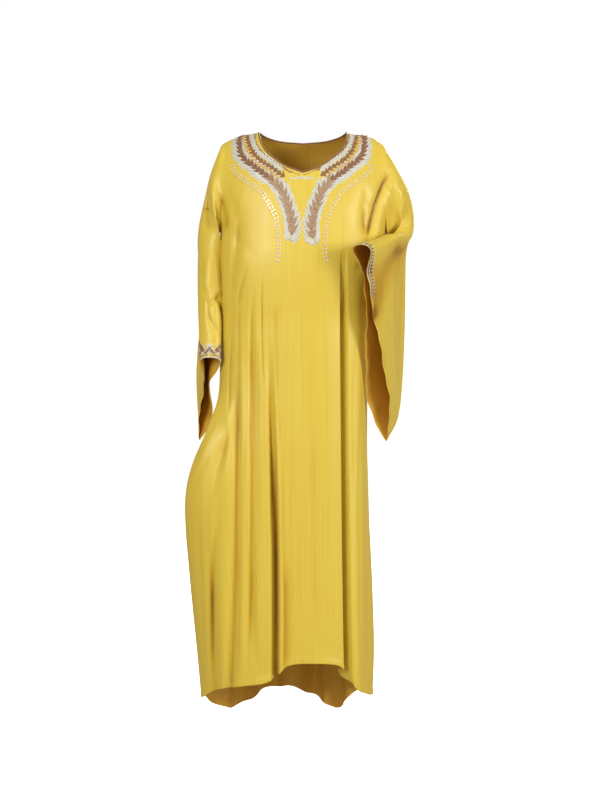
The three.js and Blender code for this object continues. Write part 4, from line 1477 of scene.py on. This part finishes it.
@dataclass
class Trimming:
    """All that is sewn on the cloth: leaf embroidery, cuff trim, piping, stones and hem stitches."""

    net: ClothNet
    surface: BVHTree
    threads: dict[str, Material]
    stone_pitch: float = 9.5
    stone_shift: float = 3.5
    stone_lift: float = 0.9
    stitch_pitch: float = 5.0
    hem_lift: float = 0.6
    lip_lift: float = 0.8
    cuff_lift: float = 0.4
    cuff_rise_rows: int = 4  # rows over which the way up from a sleeve's opening is measured
    cord_radius: float = 1.9
    cord_sides: int = 10
    cord_gap: float = 0.5

    def __post_init__(self) -> None:
        """Keeps the finished cloth's normals."""
        self.normals = self.net.normals()

    def neckline(self) -> None:
        """Leaf vines and chains beside the neckline, mirrored on both sides."""
        art = Embroidery(self.surface)
        for side in Side:
            for name, thread, slot, chains in NECK_PIECES:
                shapes = Shapes()
                for chain in chains:
                    art.lay_chain(chain, side, shapes)
                item = shapes.piece(name.format(side.word), self.threads[thread], slot)
                if thread == "taupe":
                    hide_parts(f"vine_{side.word}")

    def stone_rows(self) -> None:
        """Two rows of cut stones beside each vine."""
        art = Embroidery(self.surface)
        places = []
        for side in Side:
            for shift in (-self.stone_shift, self.stone_shift):
                for point, run, outward, _ in art.stations(art.stones, side, self.stone_pitch):
                    moved = art.laid(point + outward * (shift * MM), self.stone_lift * MM)
                    axis = run.cross(outward).normalized()
                    places.append((moved, axis if axis.y < 0 else -axis))
        sizes = {"Table": 1.4 * MM, "Girdle": 2.6 * MM, "Height": 1.7 * MM}
        repeat("neck_stones", Repeat.STONE, places, sizes, self.threads["glass"])

    def edge(self, ids: Grid, lift: float) -> list[Vector]:
        """A row of the net's points raised off the cloth, in metres."""
        return [Vector((self.net.points[i] + self.normals[i] * lift) * MM) for i in ids]

    def stitches(self) -> None:
        """Rows of sewing stitches along the hem and the sleeves' openings."""
        net = self.net
        lines = [self.edge(ids[-1 - net.form.hem_rows], self.hem_lift) for ids in net.bodies.values()]
        lines += [self.edge(ids[-net.lip_rows], self.lip_lift) for ids in net.lobes.values()]
        places = [place for line in lines for place in stepped(line, self.stitch_pitch)]
        sizes = {"Width": 0.32 * MM, "Stretch": 5.0}
        repeat("hem_stitches", Repeat.STITCH, places, sizes, self.threads["gold"])

    def cuffs(self) -> None:
        """Leaf bands round the crest of both sleeve openings: tall leaves over a scalloped edge."""
        crest = slice(self.net.form.armhole_rows * 2 // 5)  # two fifths of the way down each lobe
        points = (self.net.points * MM).tolist()
        for side in Side:
            sleeve = self.net.faces_of(f"sleeve_{side.word}")
            art = Embroidery(BVHTree.FromPolygons(points, sleeve.tolist()), faces_front=False)
            groups = {"brown": Shapes(), "white": Shapes()}
            for lobe in Face:
                ids = self.net.lobes[side, lobe]
                for row in CUFF_ROWS:
                    if row.side is not side:
                        continue
                    at, up = -1 - row.above, -1 - row.above - self.cuff_rise_rows
                    line = stepped(self.edge(ids[at, crest], self.cuff_lift), row.pitch)
                    upper = stepped(self.edge(ids[up, crest], self.cuff_lift), row.pitch)
                    for (point, run), (higher, _) in zip(line, upper):
                        rise = (higher - point).normalized() * row.way if row.way else run
                        tilt = (rise + run * row.slant).normalized()
                        leaf = art.leaf(point, tilt, row.length, row.half, CUFF_HEIGHTS[row.thread])
                        groups[row.thread].add(*leaf)
            for colour, shapes in groups.items():
                name = f"cuff_leaves_{side.word}_{colour}"
                item = shapes.piece(name, self.threads[colour], "brown_thread")
                if colour == "brown":
                    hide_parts(f"cuff_trim_{side.word}")

    def piping(self) -> None:
        """Brown cord round the whole neckline."""
        k = self.net.form.shoulder_columns
        front, back = (ids[0, k:-k] for ids in self.net.bodies.values())
        loop = np.concatenate([front, back[::-1][1:-1]])
        p = self.net.points[loop]
        run = np.roll(p, -1, axis=0) - np.roll(p, 1, axis=0)
        run /= np.linalg.norm(run, axis=1, keepdims=True)
        away = np.cross(run, self.normals[loop])
        away /= np.linalg.norm(away, axis=1, keepdims=True)
        up = np.cross(run, away)
        sides, n = self.cord_sides, len(loop)
        turn = np.arange(sides) / sides * 2 * np.pi
        centre = p + away * (self.cord_radius + self.cord_gap)
        ring = away[:, None] * np.cos(turn)[None, :, None] + up[:, None] * np.sin(turn)[None, :, None]
        points = (centre[:, None] + ring * self.cord_radius).reshape(-1, 3)
        ids = np.arange(n * sides).reshape(n, sides)
        beside, ahead = np.roll(ids, -1, axis=1), np.roll(ids, -1, axis=0)
        faces = np.stack([ids, beside, np.roll(beside, -1, axis=0), ahead], -1).reshape(-1, 4)
        item = make_object("neck_piping_cord", points, faces, [self.threads["brown"]])
        turn_outwards(item)
        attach(item, "root")
        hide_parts("neck_piping")

    def build(self) -> None:
        """Builds all trimming in order."""
        self.piping()
        self.neckline()
        self.stone_rows()
        self.cuffs()
        self.stitches()


# Stage


@dataclass(frozen=True)
class SoftLight:
    """A square soft light: its name, its place and size in metres, and its power."""

    name: str
    place: tuple[float, float, float]
    size: float
    watts: float

    def hang(self, aim: Vector) -> None:
        """Hangs the light up, aimed at a point."""
        data = bpy.data.lights.new(self.name, "AREA")
        data.size = self.size
        data.energy = self.watts
        item = add_object(self.name, data)
        item.location = self.place
        item.rotation_euler = (aim - Vector(self.place)).to_track_quat("-Z", "Y").to_euler()


LIGHTS = (
    SoftLight("key", (-2.2, -3.6, 0.7), 1.5, 88),
    SoftLight("fill", (3.5, -2.8, 0.3), 1.6, 106),
    SoftLight("top", (0.0, -1.8, 2.4), 1.4, 18),
    SoftLight("rim", (0.8, 3.4, 0.8), 2.0, 110),
)


@dataclass
class Studio:
    """Plain pale floor, soft light and the camera at the photograph's angle."""

    floor_z: float = -1.6
    floor_half: float = 30.0
    aim: tuple[float, float, float] = (0.0, 0.0, -0.75)
    place: tuple[float, float, float] = (-0.0076, -4.8, -0.162)
    pitch: float = 6.05
    lens: float = 85.9
    sensor: float = 36

    def floor(self) -> None:
        """A wide pale floor of white acrylic, lit through, so that it meets the white wall without a line."""
        mesh = bpy.data.meshes.new("floor")
        s, z = self.floor_half, self.floor_z
        mesh.from_pydata([(-s, -s, z), (s, -s, z), (s, s, z), (-s, s, z)], [], [(0, 1, 2, 3)])
        item = add_object("floor", mesh)
        material, _, shader = new_material("white_acrylic")
        feed(shader, Base_Color=linear("#f4f3f1"), Roughness=0.9)
        feed(shader, Emission_Color=linear("#ffffff"), Emission_Strength=0.8)
        mesh.materials.append(material)
        # The lit floor is for the eye alone, so that the folds keep their shade
        item.visible_diffuse = item.visible_glossy = False

    def build(self) -> None:
        """Sets the floor, the lights, the world and the camera."""
        scene = bpy.context.scene
        self.floor()
        for light in LIGHTS:
            light.hang(Vector(self.aim))
        world = bpy.data.worlds.new("studio")
        world.use_nodes = True
        tree = world.node_tree
        wall = feed(tree.nodes["Background"], Color=linear("#ffffff"), Strength=1.0).outputs[0]
        dim = add_node(tree, "ShaderNodeBackground", Color=linear("#ffebc0"), Strength=0.43).outputs[0]
        seen = add_node(tree, "ShaderNodeLightPath").outputs["Is Camera Ray"]
        mixed = add_node(tree, "ShaderNodeMixShader", Fac=seen, i1=dim, i2=wall).outputs[0]
        feed(tree.nodes["World Output"], Surface=mixed)
        scene.world = world
        scene.view_settings.view_transform = "Standard"
        data = bpy.data.cameras.new("camera")
        data.lens = self.lens
        data.sensor_width = self.sensor
        camera = add_object("camera", data)
        camera.location = self.place
        camera.rotation_euler = (math.radians(90 - self.pitch), 0, 0)
        scene.camera = camera


def main() -> None:
    """Builds the garment round the frame, then the stage."""
    logging.basicConfig(level=logging.INFO, format="%(name)s: %(message)s")
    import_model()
    Studio().build()
    threads = {
        "brown": BROWN.make(),
        "taupe": TAUPE.make(),
        "white": WHITE.make(),
        "gold": GOLD.make(),
        "glass": FoiledGlass().make(),
    }
    net = ClothNet(WornForm())
    cloth = ClothPieces(net, SATIN_FACE.make(), SATIN_REVERSE.make())
    cloth.build()
    Trimming(net, cloth.surface(), threads).build()


if __name__ == "__main__":
    main()
